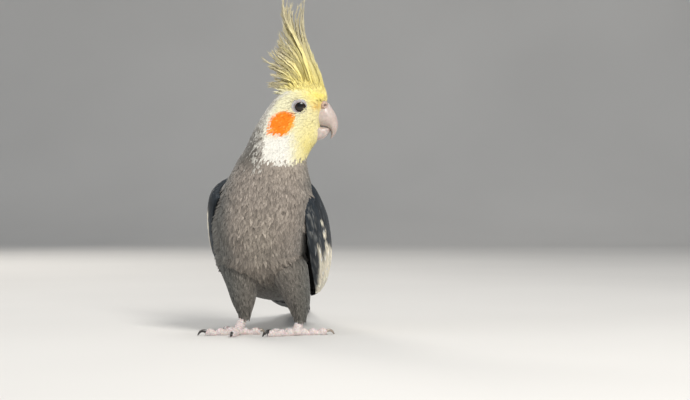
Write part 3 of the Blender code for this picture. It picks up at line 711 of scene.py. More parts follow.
def make_mesh(name: str, points: Array, faces: list[Array], finish: Finish, pigment: Array,
              replaces: tuple[str, ...] = (), vane: Array | None = None,
              uv: Array | None = None) -> None:
    """One piece of the bird, riding on its only body.

    Args:
        name: the piece's name.
        points: design millimetres.
        faces: arrays of quads or triangles.
        finish: its material.
        pigment: colour of each point.
        replaces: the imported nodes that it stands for.
        vane: place along, across and tint of each point.
        uv: the OFBake place of each point.
    """
    mesh = bpy.data.meshes.new(name)
    corners = np.concatenate([f.reshape(-1) for f in faces]).astype(np.int32)
    sizes = np.concatenate([np.full(len(f), f.shape[1]) for f in faces])
    mesh.vertices.add(len(points))
    mesh.loops.add(len(corners))
    mesh.polygons.add(len(sizes))
    mesh.vertices.foreach_set("co", PLACE.metres(points).astype(np.float32).ravel())
    mesh.loops.foreach_set("vertex_index", corners)
    mesh.polygons.foreach_set("loop_start", (np.cumsum(sizes) - sizes).astype(np.int32))
    mesh.update(calc_edges=True)
    mesh.validate()
    count = len(points)
    colour = np.concatenate([np.broadcast_to(pigment, (count, 3)), np.ones((count, 1))], 1)
    layer = mesh.attributes.new("pigment", "FLOAT_COLOR", "POINT")
    layer.data.foreach_set("color", colour.clip(0, 1).astype(np.float32).ravel())
    if vane is not None:
        layer = mesh.attributes.new("vane", "FLOAT_VECTOR", "POINT")
        layer.data.foreach_set("vector", vane.astype(np.float32).ravel())
    if uv is not None:
        layer = mesh.uv_layers.new(name="OFBake")
        layer.data.foreach_set("uv", uv[corners].astype(np.float32).ravel())
    mesh.shade_smooth()
    made = bpy.data.objects.new(name, mesh)
    bpy.context.scene.collection.objects.link(made)
    mesh.materials.append(finish.material())
    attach(made, "root")
    if replaces:
        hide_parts(*replaces)
    log.info("%s: %d faces", name, len(sizes))


def make_grid(name: str, points: Array, finish: Finish, pigment: Array, slot: str,
              *replaces: str) -> None:
    """One piece from rings of points, with the same terms as `make_mesh`."""
    rows, columns = points.shape[:2]
    pigment = np.broadcast_to(pigment, points.shape).reshape(-1, 3)
    faces = [grid_faces(rows, columns, True)]
    make_mesh(name, points.reshape(-1, 3), faces, finish, pigment, replaces)


class Surface:
    """A smooth surface with u along it and v across or round it, both from 0 to 1.

    Attributes:
        outward: 1 or -1, which turns the product of both slopes outward.
        step: for slopes by differences.
        samples, ring_samples: for measuring lengths along u and round v.
        ring_gap: distance between rings of roots, as a share of the roots' spacing.
        stray: how far a root is shifted from its place, as a share of the gap.
        fewest: roots in the smallest ring.
    """

    outward = 1.0
    step = 1e-3
    samples = 400
    ring_samples = 97
    ring_gap = 0.9
    stray = 0.2
    fewest = 5

    def at(self, u: Array, v: Array) -> Array:
        """Points of the surface."""
        raise NotImplementedError

    def tangents(self, u: Array, v: Array) -> tuple[Array, Array]:
        """Slopes of the surface along u and v, by central differences."""
        e = self.step
        low, high = np.clip(u - e, 0, 1), np.clip(u + e, 0, 1)
        along = (self.at(high, v) - self.at(low, v)) / (high - low)[..., None]
        across = (self.at(u, v + e) - self.at(u, v - e)) / (2 * e)
        return along, across

    def normal(self, u: Array, v: Array) -> Array:
        """Outward unit normals."""
        return unit(np.cross(*self.tangents(u, v))) * self.outward

    def sheet(self, rows: int, ring: int) -> tuple[Array, Array]:
        """Points and normals of even rings over the whole surface."""
        u, v = lattice(np.linspace(0, 1, rows), np.linspace(0, 1, ring, endpoint=False))
        return self.at(u, v), self.normal(u, v)

    def walk(self, u: Array, v: Array, heading: Callable[[Array, Array], Array], length: Array,
             stations: int) -> tuple[Array, Array]:
        """Walks over the surface from each root.

        At each step the heading is laid into the surface, and the step in u and v is solved from
        the two slopes by their normal equations.

        Args:
            u, v: the roots.
            heading: a function of points and slopes along u that gives directions.
            length: how far each walk goes.
            stations: how many points each walk has.

        Returns:
            The walks' points and normals.
        """
        points, normals = [], []
        stride = (length / (stations - 1))[:, None]
        for _ in range(stations):
            here = self.at(u, v)
            su, sv = self.tangents(u, v)
            normal = unit(np.cross(su, sv)) * self.outward
            points.append(here)
            normals.append(normal)
            way = laid(heading(here, su), normal) * stride
            a, b, c = (su * su).sum(-1), (su * sv).sum(-1), (sv * sv).sum(-1)
            p, q = (su * way).sum(-1), (sv * way).sum(-1)
            det = np.maximum(a * c - b * b, 1e-9)
            u = np.clip(u + (c * p - b * q) / det, 0.0, 1.0)
            v = v + (a * q - b * p) / det
        return np.stack(points, 1), np.stack(normals, 1)

    def roots(self, spacing: Callable[[Array], Array], rng: np.random.Generator,
              low: float = 0.0, high: float = 1.0) -> tuple[Array, Array]:
        """Staggered roots over the surface.

        Rings are set apart by the spacing, and each ring has as many roots as its length takes,
        with every other ring shifted by half a place.

        Args:
            spacing: distance between roots at given points, in millimetres.
            rng: the source of small shifts.
            low, high: the range of u.

        Returns:
            u and v of the roots.
        """
        line = np.linspace(low, high, self.samples)
        sides = [self.at(line, np.full(self.samples, v)) for v in (0.75, 0.25)]
        gap = spacing((sides[0] + sides[1]) / 2)
        run = sum(np.linalg.norm(np.diff(side, axis=0), axis=1) for side in sides) / 2
        total = np.concatenate([[0], np.cumsum(run / gap[1:])])
        rings = np.interp(np.arange(0.5, total[-1], self.ring_gap), total, line)
        around = np.linspace(0, 1, self.ring_samples)
        us, vs = [], []
        for index, u in enumerate(rings):
            ring = self.at(np.full(self.ring_samples, u), around)
            size = np.linalg.norm(np.diff(ring, axis=0), axis=1)
            reach = np.concatenate([[0], np.cumsum(size)])
            count = max(int(reach[-1] / float(np.interp(u, line, gap))), self.fewest)
            stray = rng.uniform(-self.stray, self.stray, count)
            place = (np.arange(count) + 0.5 * (index % 2) + stray) / count
            vs.append(np.interp(place % 1.0 * reach[-1], reach, around))
            stray = rng.uniform(-self.stray, self.stray, count)
            us.append(np.full(count, u) + stray / len(rings) * (high - low))
        return np.clip(np.concatenate(us), 0, 1), np.concatenate(vs)


class BodySurface(Surface):
    """Rump, body, neck and head as one form; u runs from the rump to the crown.

    Each ring is an ellipse with its own half sizes to each side, tilted and turned, whose depth
    narrows towards +X. Cosine and sine are raised to FULLNESS so that the rings are fuller.
    """

    outward = -1.0

    def at(self, u: Array, v: Array) -> Array:
        """Points of the body's outline."""
        u, v = np.broadcast_arrays(u, v)
        row = np.moveaxis(curve(BODY, u * (len(BODY) - 1)), -1, 0)
        x, y, z, tilt, yaw, right, left, back, front, narrow = row
        c, s = np.cos(2 * np.pi * v), np.sin(2 * np.pi * v)
        c_full = np.sign(c) * np.abs(c) ** FULLNESS
        s_full = np.sign(s) * np.abs(s) ** FULLNESS
        across = np.where(c > 0, right, left) * c_full
        deep = np.where(s > 0, back, front) * s_full * (1 - narrow * c)
        tilt, yaw = np.radians(tilt), np.radians(yaw)
        level = deep * np.cos(tilt)
        return np.stack([
            x + across * np.cos(yaw) - level * np.sin(yaw),
            y + across * np.sin(yaw) + level * np.cos(yaw),
            z + deep * np.sin(tilt),
        ], axis=-1)


class LimbSurface(Surface):
    """A round limb through a table of centres and radii, from its top down."""

    def __init__(self, rows: list[tuple[float, ...]]) -> None:
        self.rows = np.array(rows, float)

    def at(self, u: Array, v: Array) -> Array:
        """Points round the limb, in level rings."""
        u, v = np.broadcast_arrays(u, v)
        row = curve(self.rows, u * (len(self.rows) - 1))
        c, s = np.cos(2 * np.pi * v), np.sin(2 * np.pi * v)
        return row[..., :3] + row[..., 3:] * np.stack([c, s, np.zeros_like(c)], -1)


class WingSurface(Surface):
    """The folded wing's outer face: u runs from the bend to the tip, v from lower to upper edge.

    Attributes:
        roll: radius of the leading edge.
        most_turn: how far the edge rolls inward, in radians.
        table_samples: for reading the wing's table.
    """

    roll = 2.4
    most_turn = 2.7
    table_samples = 300

    def __init__(self, side: Side) -> None:
        self.side = side.value
        self.outward = float(side.value)

    @staticmethod
    def share(depth: Array) -> Array:
        """The u at each depth."""
        return np.clip((depth - WING_SPAN[0]) / (WING_SPAN[1] - WING_SPAN[0]), 0, 1)

    def row(self, depth: Array) -> tuple[Array, ...]:
        """Height, half width, half rise, lower and upper angle, and slope, at each depth."""
        dense = curve(WING, np.linspace(0, len(WING) - 1, self.table_samples)).T
        height, wide, high, low, top = (np.interp(depth, dense[0], line) for line in dense[1:])
        slope = np.interp(depth, dense[0], np.gradient(dense[1], dense[0]))
        wide = wide * np.interp(depth, *WING_WIDTH[self.side])
        return height, wide, high, low * WING_LOW[self.side], top, slope

    def at(self, u: Array, v: Array) -> Array:
        """Points on arcs of ellipses about the wing's centre line."""
        u, v = np.broadcast_arrays(u, v)
        depth = between(WING_SPAN, u)
        height, wide, high, low, top, slope = self.row(depth)
        length = np.sqrt(1 + slope ** 2)
        angle = np.radians(np.minimum(between((low, top), v), WING_TOP))
        rise = high * np.sin(angle)
        return np.stack([self.side * wide * np.cos(angle), depth - slope / length * rise,
                         height + rise / length], -1)

    def over(self, depth: Array, place: Array, lift: Array) -> Array:
        """Points raised over the wing's face, which rolls inward round its leading edge.

        Up to one roll behind the front end, the way forward becomes a turn about an axis one roll
        under the face, so that each millimetre turns by one part in roll of a radian.

        Args:
            depth: along the wing; places in front of the edge lie round the roll.
            place: 0 at the lower edge, 1 at the upper.
            lift: height over the face.

        Returns:
            Points.
        """
        depth, place, lift = np.broadcast_arrays(depth, place, lift)
        edge = WING_SPAN[0] + self.roll
        turn = np.clip((edge - depth) / self.roll, 0, self.most_turn)[..., None]
        u = self.share(np.maximum(depth, edge))
        along, across = self.tangents(u, place)
        normal = unit(np.cross(along, across)) * self.outward
        reach = self.roll + lift[..., None]
        return (self.at(u, place) - normal * self.roll
                + reach * (normal * np.cos(turn) - unit(along) * np.sin(turn)))

    def angle(self, depth: Array, v: Array) -> Array:
        """Degrees above the wing's outermost line."""
        return between(self.row(depth)[3:5], v)

    def width(self, depth: Array) -> Array:
        """Millimetres from the lower to the upper edge, near enough."""
        _, wide, high, low, top, _ = self.row(depth)
        return np.radians(top - low) * (wide + high) / 2


class Plumage:
    """The bird's colours as functions of place. Colours are linear."""

    cream: Colour = (0.80, 0.76, 0.52)
    white: Colour = (0.83, 0.81, 0.74)
    yellow: Colour = (0.84, 0.70, 0.16)
    lore: Colour = (0.80, 0.46, 0.07)
    orange: Colour = (0.93, 0.22, 0.008)
    cheek_front: Colour = (0.9, 0.5, 0.06)
    cheek_fleck: Colour = (0.9, 0.55, 0.12)
    breast: Colour = (0.275, 0.238, 0.205)
    # Painted light on the upper breast's lit side.
    lit_throat: Colour = (0.36, 0.31, 0.26)
    middle: Colour = (0.33, 0.29, 0.24)
    belly: Colour = (0.14, 0.128, 0.112)
    # Painted shade, low at the back between the legs and under the tail.
    vent_shade: Colour = (0.075, 0.074, 0.068)
    # Painted shade on the bird's sides.
    flank: Colour = (0.085, 0.092, 0.085)
    back: Colour = (0.11, 0.105, 0.095)
    nape: Colour = (0.12, 0.11, 0.095)
    pale: Colour = (0.50, 0.47, 0.40)
    slate: Colour = (0.016, 0.022, 0.029)
    slate_top: Colour = (0.07, 0.074, 0.078)
    scruff: Colour = (0.20, 0.205, 0.20)
    patch: Colour = (0.80, 0.74, 0.60)
    tail_side: Colour = (0.035, 0.038, 0.042)
    tail_middle: Colour = (0.17, 0.165, 0.16)
    crest_tip: Colour = (0.52, 0.47, 0.33)
    # Heights, and how far forward the face begins there.
    face_edge = ((100, 103, 109, 117, 124, 131.6, 138, 142, 146),
                 (-2.0, -1.4, -1.9, -1.4, -0.8, 1.6, 6.9, 13.4, 19.0))
    # How far forward, and the height of the collar's lower edge there.
    collar = ((-4, 4, 14, 22, 30), (104.0, 101.4, 101.2, 104.2, 108.0))
    cheek_at = (9.0, 124.0)
    cheek_half = (8.1, 6.4)
    cheek_turn = math.radians(42)
    # The left wing's pale spots: depths and the angle of their row, then depths and half width.
    spot_row = ((2.0, 6.0, 20.0), (-16.0, -18.0, -19.0))
    spot_half = ((2.8, 3.6, 5.4, 6.6, 7.8, 9.5, 12.2, 13.6, 15.0, 22.0, 23.0),
                 (-1.5, 1.8, 1.8, -1.8, 1.6, 3.2, 2.2, -0.4, 2.0, 2.2, -1.0))

    def behind(self, points: Array) -> Array:
        """How far behind the face's hind edge each point is, in millimetres."""
        forward, _, height = head_place(points)
        return np.interp(height, *self.face_edge) - forward

    def face(self, points: Array) -> Array:
        """1 on the pale face, 0 behind it and below the collar."""
        forward, _, height = head_place(points)
        rough = ripple(points, 3.2, 3) * 1.1
        above = height - np.interp(forward, *self.collar) + rough
        return smoothstep(rough - self.behind(points), -1.4, 1.8) * smoothstep(above, -1.1, 1.1)

    def cheek(self, points: Array) -> tuple[Array, Array]:
        """Colour and share of the orange cheek, a turned oval that is paler low in front."""
        f, _, z = head_place(points)
        ahead, up = f - self.cheek_at[0], z - self.cheek_at[1]
        c, s = math.cos(self.cheek_turn), math.sin(self.cheek_turn)
        long = (ahead * c + up * s) / self.cheek_half[0]
        short = (-ahead * s + up * c) / self.cheek_half[1]
        reach = np.sqrt(long ** 2 + short ** 2) + ripple(points, 2.4, 8) * 0.09
        front = smoothstep(ahead * 0.8 - up * 0.3, 2.5, 6.5) * 0.8
        fleck = smoothstep(ripple(points * (0.5, 1.0, 1.6), 2.0, 12), 0.35, 0.8) * 0.4
        colour = layered(self.orange, (self.cheek_front, front), (self.cheek_fleck, fleck))
        return colour, fade(reach, 0.86, 1.14)

    def head(self, points: Array) -> Array:
        """The face's cream, white and yellow, and the orange cheek."""
        f, _, z = head_place(points)
        below = fade(z, 114, 121) * fade(f, 10, 19)
        yellow = (0.05 + 0.36 * smoothstep(f, 10, 26) + 0.55 * glow((f, 30, 8), (z, 141, 6))
                  + 0.35 * glow((f, 25, 5), (z, 110, 8)) - 0.35 * glow((f, 19, 6), (z, 133, 6)))
        yellow = np.clip(yellow + ripple(points, 5, 5) * 0.08, 0, 1) * (1 - below)
        lore = glow((f, 29.5, 2.6), (z, 134.5, 2.6)) * 0.75
        white = np.maximum(below, fade(f, 1, 8) * 0.7)
        return layered(self.cream, (self.yellow, yellow), (self.lore, lore), (self.white, white),
                       self.cheek(points))

    def body(self, points: Array) -> Array:
        """Greys of breast, belly, flanks, back and nape, with painted shade and painted light."""
        x, y, z = np.moveaxis(points, -1, 0)
        forward, _, _ = head_place(points)
        behind = self.behind(points)
        aside = smoothstep(np.abs(x - 2) + 0.25 * (y + 10), 13, 29)
        return layered(
            self.belly,
            (self.breast, smoothstep(z + ripple(points, 14, 2) * 5, 26, 62)),
            # Painted light: the upper breast lighter towards the bird's left, the side the key
            # light falls on.
            (self.lit_throat, smoothstep(z, 84, 100) * smoothstep(x, -8, 14) * 0.8),
            (self.middle, glow((x, -2, 11), (z, 56, 17)) * 0.5),
            # Painted shade: darker low down towards the back, between the legs and under the tail.
            (self.vent_shade, fade(z, 22, 38) * smoothstep(y, 0, 20) * 0.7),
            # Painted shade: the sides darker, where they turn away from the light.
            (self.flank, aside * 0.75),
            (self.back, smoothstep(y, 2, 16) * 0.8),
            (self.nape, smoothstep(behind, -1, 4) * smoothstep(z, 94, 106)),
            (self.pale, fade(behind, 0, 9) * smoothstep(z, 108, 126) * 0.6),
            (self.cream, smoothstep(z, 132, 142) * smoothstep(forward, 2, 12) * 0.6),
        )

    def streaks(self, points: Array) -> Array:
        """How likely a feather of the nape is pale: most just behind the face, none further off."""
        behind = self.behind(points)
        high = smoothstep(points[..., 2], 97, 106)
        return glow((behind, 0, 5)) * high * smoothstep(behind, -3, 0) * 0.6

    def coat(self, points: Array) -> Array:
        """The whole body's colour."""
        return blend(self.body(points), self.head(points), self.face(points))

    def wing(self, side: Side, depth: Array, angle: Array, points: Array) -> Array:
        """Slate with the white patch along the wing's outer line.

        Args:
            side: whose wing it is. The left one has spots in front of its patch.
            depth: how far back along the wing.
            angle: degrees above its outermost line.
            points: the places, for uneven edges.

        Returns:
            Colours.
        """
        left = side is Side.LEFT
        rough = ripple(points, 4.0, 4)
        grain = smoothstep(ripple(points * (1.5, 1.5, 0.6), 2.2, 17), 0.3, 0.7)
        start = 24.0 + 0.32 * angle if left else 1.0 + 0.1 * np.abs(angle + 10)
        low = -33.5 - 0.12 * np.clip(depth - 15, 0, 60) if left else -14.0
        white = (smoothstep(depth + rough * 1.6 - start, -1.2, 0.6) * fade(depth - rough, 56, 64)
                 * smoothstep(angle + rough * 1.5 - low, -2, 1) * fade(angle - rough * 3, 19, 26))
        if left:
            off = np.abs(angle - np.interp(depth, *self.spot_row) + rough * 0.7)
            spots = smoothstep(np.interp(depth, *self.spot_half) - off, -0.7, 0.5)
            notch = fade(np.abs(angle + 25), 2.5, 4.5) * fade(depth, 20, 22)
            white = np.maximum(white * (1 - notch), spots)
        return layered(self.slate, (self.slate_top, smoothstep(angle, 20, 70) * 0.8),
                       (self.scruff, grain * fade(angle, -30, -22) * 0.8), (self.patch, white))

    def tail(self, points: Array) -> Array:
        """Slate grey, paler towards the middle pair."""
        return blend(self.tail_side, self.tail_middle, fade(np.abs(points[..., 0]), 1, 6) * 0.8)

    def crest(self, points: Array, along: Array) -> Array:
        """Yellow at the root, greyer to the tip."""
        tip = smoothstep(along + ripple(points, 6, 9) * 0.08, 0.3, 0.9)
        return layered(self.yellow, (self.cream, 0.2 + 0.3 * smoothstep(along, 0.0, 0.5)),
                       (self.crest_tip, tip * 0.9))


PLUMAGE = Plumage()


@dataclass(frozen=True)
class VaneShape:
    """The form of one kind of small feather.

    Attributes:
        stations: points along it.
        columns: points across it.
        profile: half width at each station, as a share of the widest.
        cup: how far its edges bend down, as a share of its half width.
        rounding: how much shorter its edges are than its middle.
        fray: how uneven its end is, as a share of its length.
    """

    stations: int = 5
    columns: int = 7
    profile: tuple[float, ...] = (0.45, 0.9, 1.0, 0.95, 0.7)
    cup: float = 0.16
    rounding: float = 0.9
    fray: float = 0.10


@dataclass
class Vanes:
    """Many feathers as grids of points, which run evenly along each feather and across it.

    Attributes:
        points: one grid of stations and columns for each feather.
        roots: the OFBake place of each feather.
        tint: a number from 0 to 1 for each feather.
        pigment: a colour for each point.
    """

    points: Array
    roots: Array
    tint: Array
    pigment: Array

    @classmethod
    def joined(cls, parts: list["Vanes"]) -> "Vanes":
        """The feathers of several lists in one."""
        return cls(*(np.concatenate([getattr(part, key.name) for part in parts])
                     for key in fields(cls)))

    @classmethod
    def from_walk(cls, spine: Array, normal: Array, half: Array, shape: VaneShape, roots: Array,
                  pigment: Array, rng: np.random.Generator) -> "Vanes":
        """Spreads a line of points into a vane.

        The grid is spine + side x across x half width x profile - normal x cup x half x across^2
        - tangent x rounding x half x across^2 x along, with a frayed end.

        Args:
            spine: stations of each feather.
            normal: the way each station faces.
            half: the widest half width of each feather.
            shape: the kind of feather.
            roots: the OFBake place of each feather.
            pigment: one colour for each feather.
            rng: the source of fraying and tints.

        Returns:
            The vanes.
        """
        count = len(spine)
        across = np.linspace(-1, 1, shape.columns)
        along = np.linspace(0, 1, shape.stations)
        tangent = unit(np.gradient(spine, axis=1))
        side = unit(np.cross(tangent, normal))
        wide = (half[:, None] * np.array(shape.profile))[:, :, None] * across
        bent = across ** 2
        h = half[:, None, None, None]
        grid = spine[:, :, None] + side[:, :, None] * wide[..., None]
        grid -= normal[:, :, None] * shape.cup * h * bent[:, None]
        length = np.linalg.norm(spine[:, -1] - spine[:, 0], axis=-1)[:, None, None, None]
        rough = rng.uniform(-1, 1, (count, 1, shape.columns, 1)) * shape.fray * length
        short = shape.rounding * h * bent[:, None] + rough
        grid -= tangent[:, :, None] * short * along[:, None, None] ** 1.5
        tint = rng.uniform(0, 1, count)
        return cls(grid, roots, tint, np.broadcast_to(pigment[:, None, None], grid.shape))

    def build(self, name: str, finish: Finish, slot: str) -> None:
        """Joins the feathers into meshes below the size limit.

        Args:
            name: the pieces' name, with a number added if there are more than one.
            finish: their material.
            slot: not used.
        """
        count, rows, columns = self.points.shape[:3]
        along, across = lattice(np.linspace(0, 1, rows), np.linspace(-1, 1, columns))
        patch = np.stack([across, along * 2 - 1], -1) * BAKE_PATCH
        faces = grid_faces(rows, columns, False)
        most = PIECE_TRIANGLES // (len(faces) * 2)
        for number, first in enumerate(range(0, count, most)):
            part = slice(first, first + most)
            tint = self.tint[part, None, None]
            vane = np.stack(np.broadcast_arrays(along, across, tint), -1)
            uv = self.roots[part, None, None] + patch
            make_mesh(
                name if count <= most else f"{name}_{number + 1}",
                self.points[part].reshape(-1, 3),
                [repeat_faces(faces, len(tint), rows * columns)], finish,
                self.pigment[part].reshape(-1, 3), (), vane.reshape(-1, 3),
                uv.reshape(-1, 2))


class Body:
    """The skin of body, neck, head and shins, and the small feathers over it.

    Attributes:
        depth, face_depth: how far the coat stands over the skin on the body and on the face.
        under_gap: how much lower than that the skin is.
        bare_radius: of the featherless ring round the eye.
        socket: how deep the skin lies behind the eye.
        rows, ring, shin_rows, shin_ring: the skin's grids.
        shin_inset: how deep the skin lies in the shins' outline.
        head_from: the height where the head's finer feathers begin.
        contour, small, long: the forms of the feathers of body, head and flanks.
        spacing, length, slimness: heights, and the coat's gap between roots, length of feathers
            and half width as a share of the length there.
        flank_spacing, flank_length: the same for the flanks' longer feathers.
        shin_spacing, shin_length: the same for the shins, where the length goes by u.
        longer_half: half width of flank and shin feathers, as a share of their length.
        light_from, dark_to: shares of the draw that makes a feather lighter or darker.
    """

    depth = 1.3
    face_depth = 0.75
    under_gap = 0.15
    bare_radius = 4.0
    socket = 3.2
    rows, ring = 260, 220
    shin_rows, shin_ring = 50, 48
    shin_inset = 1.2
    head_from = 101.5
    bare: Colour = (0.55, 0.50, 0.47)
    contour = VaneShape(5, 5, (0.4, 0.85, 1.0, 0.9, 0.45), 0.2, 0.9, 0.12)
    small = VaneShape(4, 5, (0.6, 1.0, 0.95, 0.6), 0.2, 0.9, 0.10)
    long = VaneShape(6, 5, (0.5, 0.9, 1.0, 0.95, 0.75, 0.4), 0.2, 0.9, 0.12)
    spacing = ((20, 60, 95, 104, 112, 150), (1.3, 1.25, 1.2, 1.05, 0.92, 0.85))
    length = ((20, 60, 92, 102, 112, 124, 150), (8.0, 7.6, 6.6, 5.4, 4.2, 3.6, 3.4))
    slimness = ((60, 100, 115), (0.12, 0.145, 0.2))
    flank_spacing, flank_length = 1.1, (8.0, 11.0)
    shin_spacing, shin_length = 1.3, ((0, 0.5, 0.8), (7.0, 5.5, 3.6))
    longer_half = 0.14
    light_from, dark_to = 0.92, 0.12

    def __init__(self, rng: np.random.Generator) -> None:
        self.rng = rng
        self.surface = BodySurface()

    def coat_depth(self, points: Array) -> Array:
        """How far the coat stands over the skin: thin on the face, thicker on the body."""
        return between((self.depth, self.face_depth), smoothstep(points[..., 2], 98, 114))

    @staticmethod
    def eye_distance(points: Array) -> Array:
        """Millimetres from the nearer eye's middle, seen from the side."""
        forward, side, height = head_place(points)
        reach = np.hypot(forward - EYE_AT[0], (height - EYE_AT[1]) * 1.08)
        return np.where(np.abs(side) > 5, reach, 99.0)

    def skin(self) -> None:
        """The bare form under the coat, with shins joined on, in one mesh."""
        outline, normal = self.surface.sheet(self.rows, self.ring)
        bare = fade(self.eye_distance(outline), self.bare_radius - 0.8, self.bare_radius + 0.6)
        inset = (self.coat_depth(outline) + self.under_gap) * (1 - bare) + self.socket * bare
        # The skin carries painted shade, seen in the gaps between feathers.
        pigment = blend(self.pigment_under(outline), self.bare, bare)
        points, pigment, faces = close_tube(outline - normal * inset[..., None], pigment)
        for rows in SHINS.values():
            outline, normal = LimbSurface(rows).sheet(self.shin_rows, self.shin_ring)
            shin = outline - normal * self.shin_inset
            faces.append(grid_faces(self.shin_rows, self.shin_ring, True) + len(points))
            points = np.vstack([points, shin.reshape(-1, 3)])
            pigment = np.vstack([pigment, self.pigment_under(shin).reshape(-1, 3)])
        make_mesh("skin", points, faces, UNDER_SKIN, pigment,
                  ("torso", "neck", "head", "shin_left", "shin_right"))

    @staticmethod
    def pigment_under(points: Array) -> Array:
        """The coat's colour with painted shade: darker, as seen between feathers, and less so on
        the face.
        """
        return PLUMAGE.coat(points) * (0.55 + 0.3 * PLUMAGE.face(points))[..., None]

    @staticmethod
    def heading(points: Array, along: Array) -> Array:
        """The lie of the coat: away from the bill on the head, towards the tail on the body."""
        bill = head_point(33.0, 0.0, 131.0)
        away = unit(points - bill) + np.array([0.0, 0.0, -0.25])
        share = smoothstep(points[..., 2:3], 98, 116)
        return unit(-along) * (1 - share) + unit(away) * share

    def coat(self) -> None:
        """Contour feathers of body and neck, and the finer ones of the head."""
        u, v = self.surface.roots(lambda p: np.interp(p[:, 2], *self.spacing), self.rng,
                                  0.01, 0.995)
        points = self.surface.at(u, v)
        forward, _, height = head_place(points)
        on_bill = (forward > 30.4) & (height < 137.5) & (height > 113)
        keep = (self.eye_distance(points) > self.bare_radius) & ~on_bill
        u, v, points = u[keep], v[keep], points[keep]
        is_head = points[:, 2] > self.head_from
        for name, chosen, shape, finish, slot in (
            ("body_coat", ~is_head, self.contour, BODY_COAT, "grey_feather"),
            ("head_coat", is_head, self.small, FACE_COAT, "face_feather"),
        ):
            height = points[chosen, 2]
            near = self.eye_distance(points[chosen]) - self.bare_radius
            size = np.interp(height, *self.length) * np.interp(near, [0, 5], [0.45, 1.0])
            size = size * self.rng.uniform(0.85, 1.15, len(size))
            half = size * np.interp(height, *self.slimness)
            self.spread(name, u[chosen], v[chosen], size, half, shape, finish, slot)

    def spread(self, name: str, u: Array, v: Array, size: Array, half: Array, shape: VaneShape,
               finish: Finish, slot: str) -> None:
        """Lays feathers from their roots over the body.

        Each rises from the skin at its root to just under the outline at its tip, and turns a
        little from the coat's lie. Single feathers are lighter or darker, and pale ones streak
        the nape.

        Args:
            name: the pieces' name.
            u, v: the roots.
            size, half: length and half width of each.
            shape, finish, slot: the kind of feather.
        """
        count = len(u)
        swing = self.rng.normal(0, 0.13, (count, 1))
        axis = np.array([4.0, 6.0, 0.0])

        def way(points: Array, along: Array) -> Array:
            straight = self.heading(points, along)
            aside = np.cross(straight, unit((points - axis) * (1, 1, 0)))
            return straight + unit(aside) * swing

        spine, normal = self.surface.walk(u, v, way, size, shape.stations)
        depth = self.coat_depth(spine[:, 0])[:, None]
        t = np.linspace(0, 1, shape.stations)
        lift = -depth * (1.1 - 1.12 * np.minimum(t * 1.5, 1) ** 0.8)
        lift = lift + self.rng.uniform(-0.18, 0.12, (count, 1)) * t
        spine = spine + normal * lift[..., None]
        place = spine[np.arange(count), self.rng.integers(1, shape.stations, count)]
        face = PLUMAGE.face(place)
        fleck = self.rng.uniform(0, 1, count)
        middle = glow((spine[:, 0, 0], -2, 13), (spine[:, 0, 2], 54, 18))
        light = np.where(fleck > self.light_from - 0.12 * middle, 1.25 + 0.35 * middle,
                         np.where(fleck < self.dark_to, 0.85, 1.0))
        pigment = PLUMAGE.coat(place) * between((light, 1.0), face)[:, None]
        pale = self.rng.uniform(0, 1, count) < PLUMAGE.streaks(spine[:, 0])
        pale = pale * self.rng.uniform(0.2, 0.65, count) * (1 - face)
        pigment = blend(pigment, PLUMAGE.white, pale)
        roots = np.stack([v % 1, u], 1)
        vanes = Vanes.from_walk(spine, normal, half, shape, roots, pigment, self.rng)
        vanes.build(name, finish, slot)

    def flanks(self) -> None:
        """Longer feathers beside the wings' front edges and over the thighs' upper ends."""
        u, v = self.surface.roots(lambda p: np.full(len(p), self.flank_spacing), self.rng,
                                  0.1, 0.62)
        x, y, z = self.surface.at(u, v).T
        left = x > -2
        wide = np.abs(x + np.interp(z, [50, 70, 90], [5, 3, 0])) > 21.5
        beside = wide & (y > -14) & (y < 0) & (z > np.where(left, 66, 52))
        beside &= z < np.where(left, 90, 97)
        belly = (z > 37) & (z < 50) & (y < 12) & (self.rng.uniform(0, 1, len(u)) < 0.6)
        out = np.where(beside, np.sign(x + 2), np.clip((x + 4) / 24, -1, 1) * 0.5)
        keep = beside | belly
        u, v, z, out = u[keep], v[keep], z[keep], out[keep]
        count, stations = len(u), self.long.stations
        size = self.rng.uniform(*self.flank_length, count) * np.where(z < 50, 1.15, 1.0)
        aside = np.stack([out * 0.5, np.full(count, 0.55), np.zeros(count)], -1)
        spine, normal = self.surface.walk(u, v, lambda p, along: unit(-along) + aside, size,
                                          stations)
        t = np.linspace(0, 1, stations)
        lift = -1.2 * (1 - t) + self.rng.uniform(0.7, 1.8, (count, 1)) * t ** 1.4
        spine = spine + normal * lift[..., None]
        pigment = PLUMAGE.body(spine[:, 0]) * self.rng.uniform(0.8, 1.2, (count, 1))
        roots = np.stack([v % 1, u], 1)
        vanes = Vanes.from_walk(spine, normal, size * self.longer_half, self.long, roots, pigment,
                                self.rng)
        vanes.build("flank_coat", BODY_COAT, "grey_feather")

    def shins(self) -> None:
        """Feathers of both shins, which lie downwards and run out unevenly over the ankles."""
        for word, rows in SHINS.items():
            x, y, z, radius = rows[-1]
            limb = LimbSurface([*rows, (x * 1.02, y - 0.4, z - 5.5, radius * 0.8)])
            u, v = limb.roots(lambda p: np.full(len(p), self.shin_spacing), self.rng, 0.02, 0.79)
            count, stations = len(u), self.contour.stations
            size = np.interp(u, *self.shin_length) * self.rng.uniform(0.7, 1.3, count)
            swing = self.rng.normal(0, 0.1, (count, 3))
            spine, normal = limb.walk(u, v, lambda p, along: unit(along) + swing, size, stations)
            t = np.linspace(0, 1, stations)
            spine = spine + normal * (-1.15 * (1.05 - np.minimum(t * 1.4, 1)))[:, None]
            spine = above_floor(spine, 4.0)
            pigment = PLUMAGE.body(spine[:, -1]) * self.rng.uniform(0.75, 1.25, (count, 1))
            roots = np.stack([v % 1, u], 1)
            vanes = Vanes.from_walk(spine, normal, size * self.longer_half, self.contour, roots,
                                    pigment, self.rng)
            vanes.build(f"shin_coat_{word}", BODY_COAT, "grey_feather")


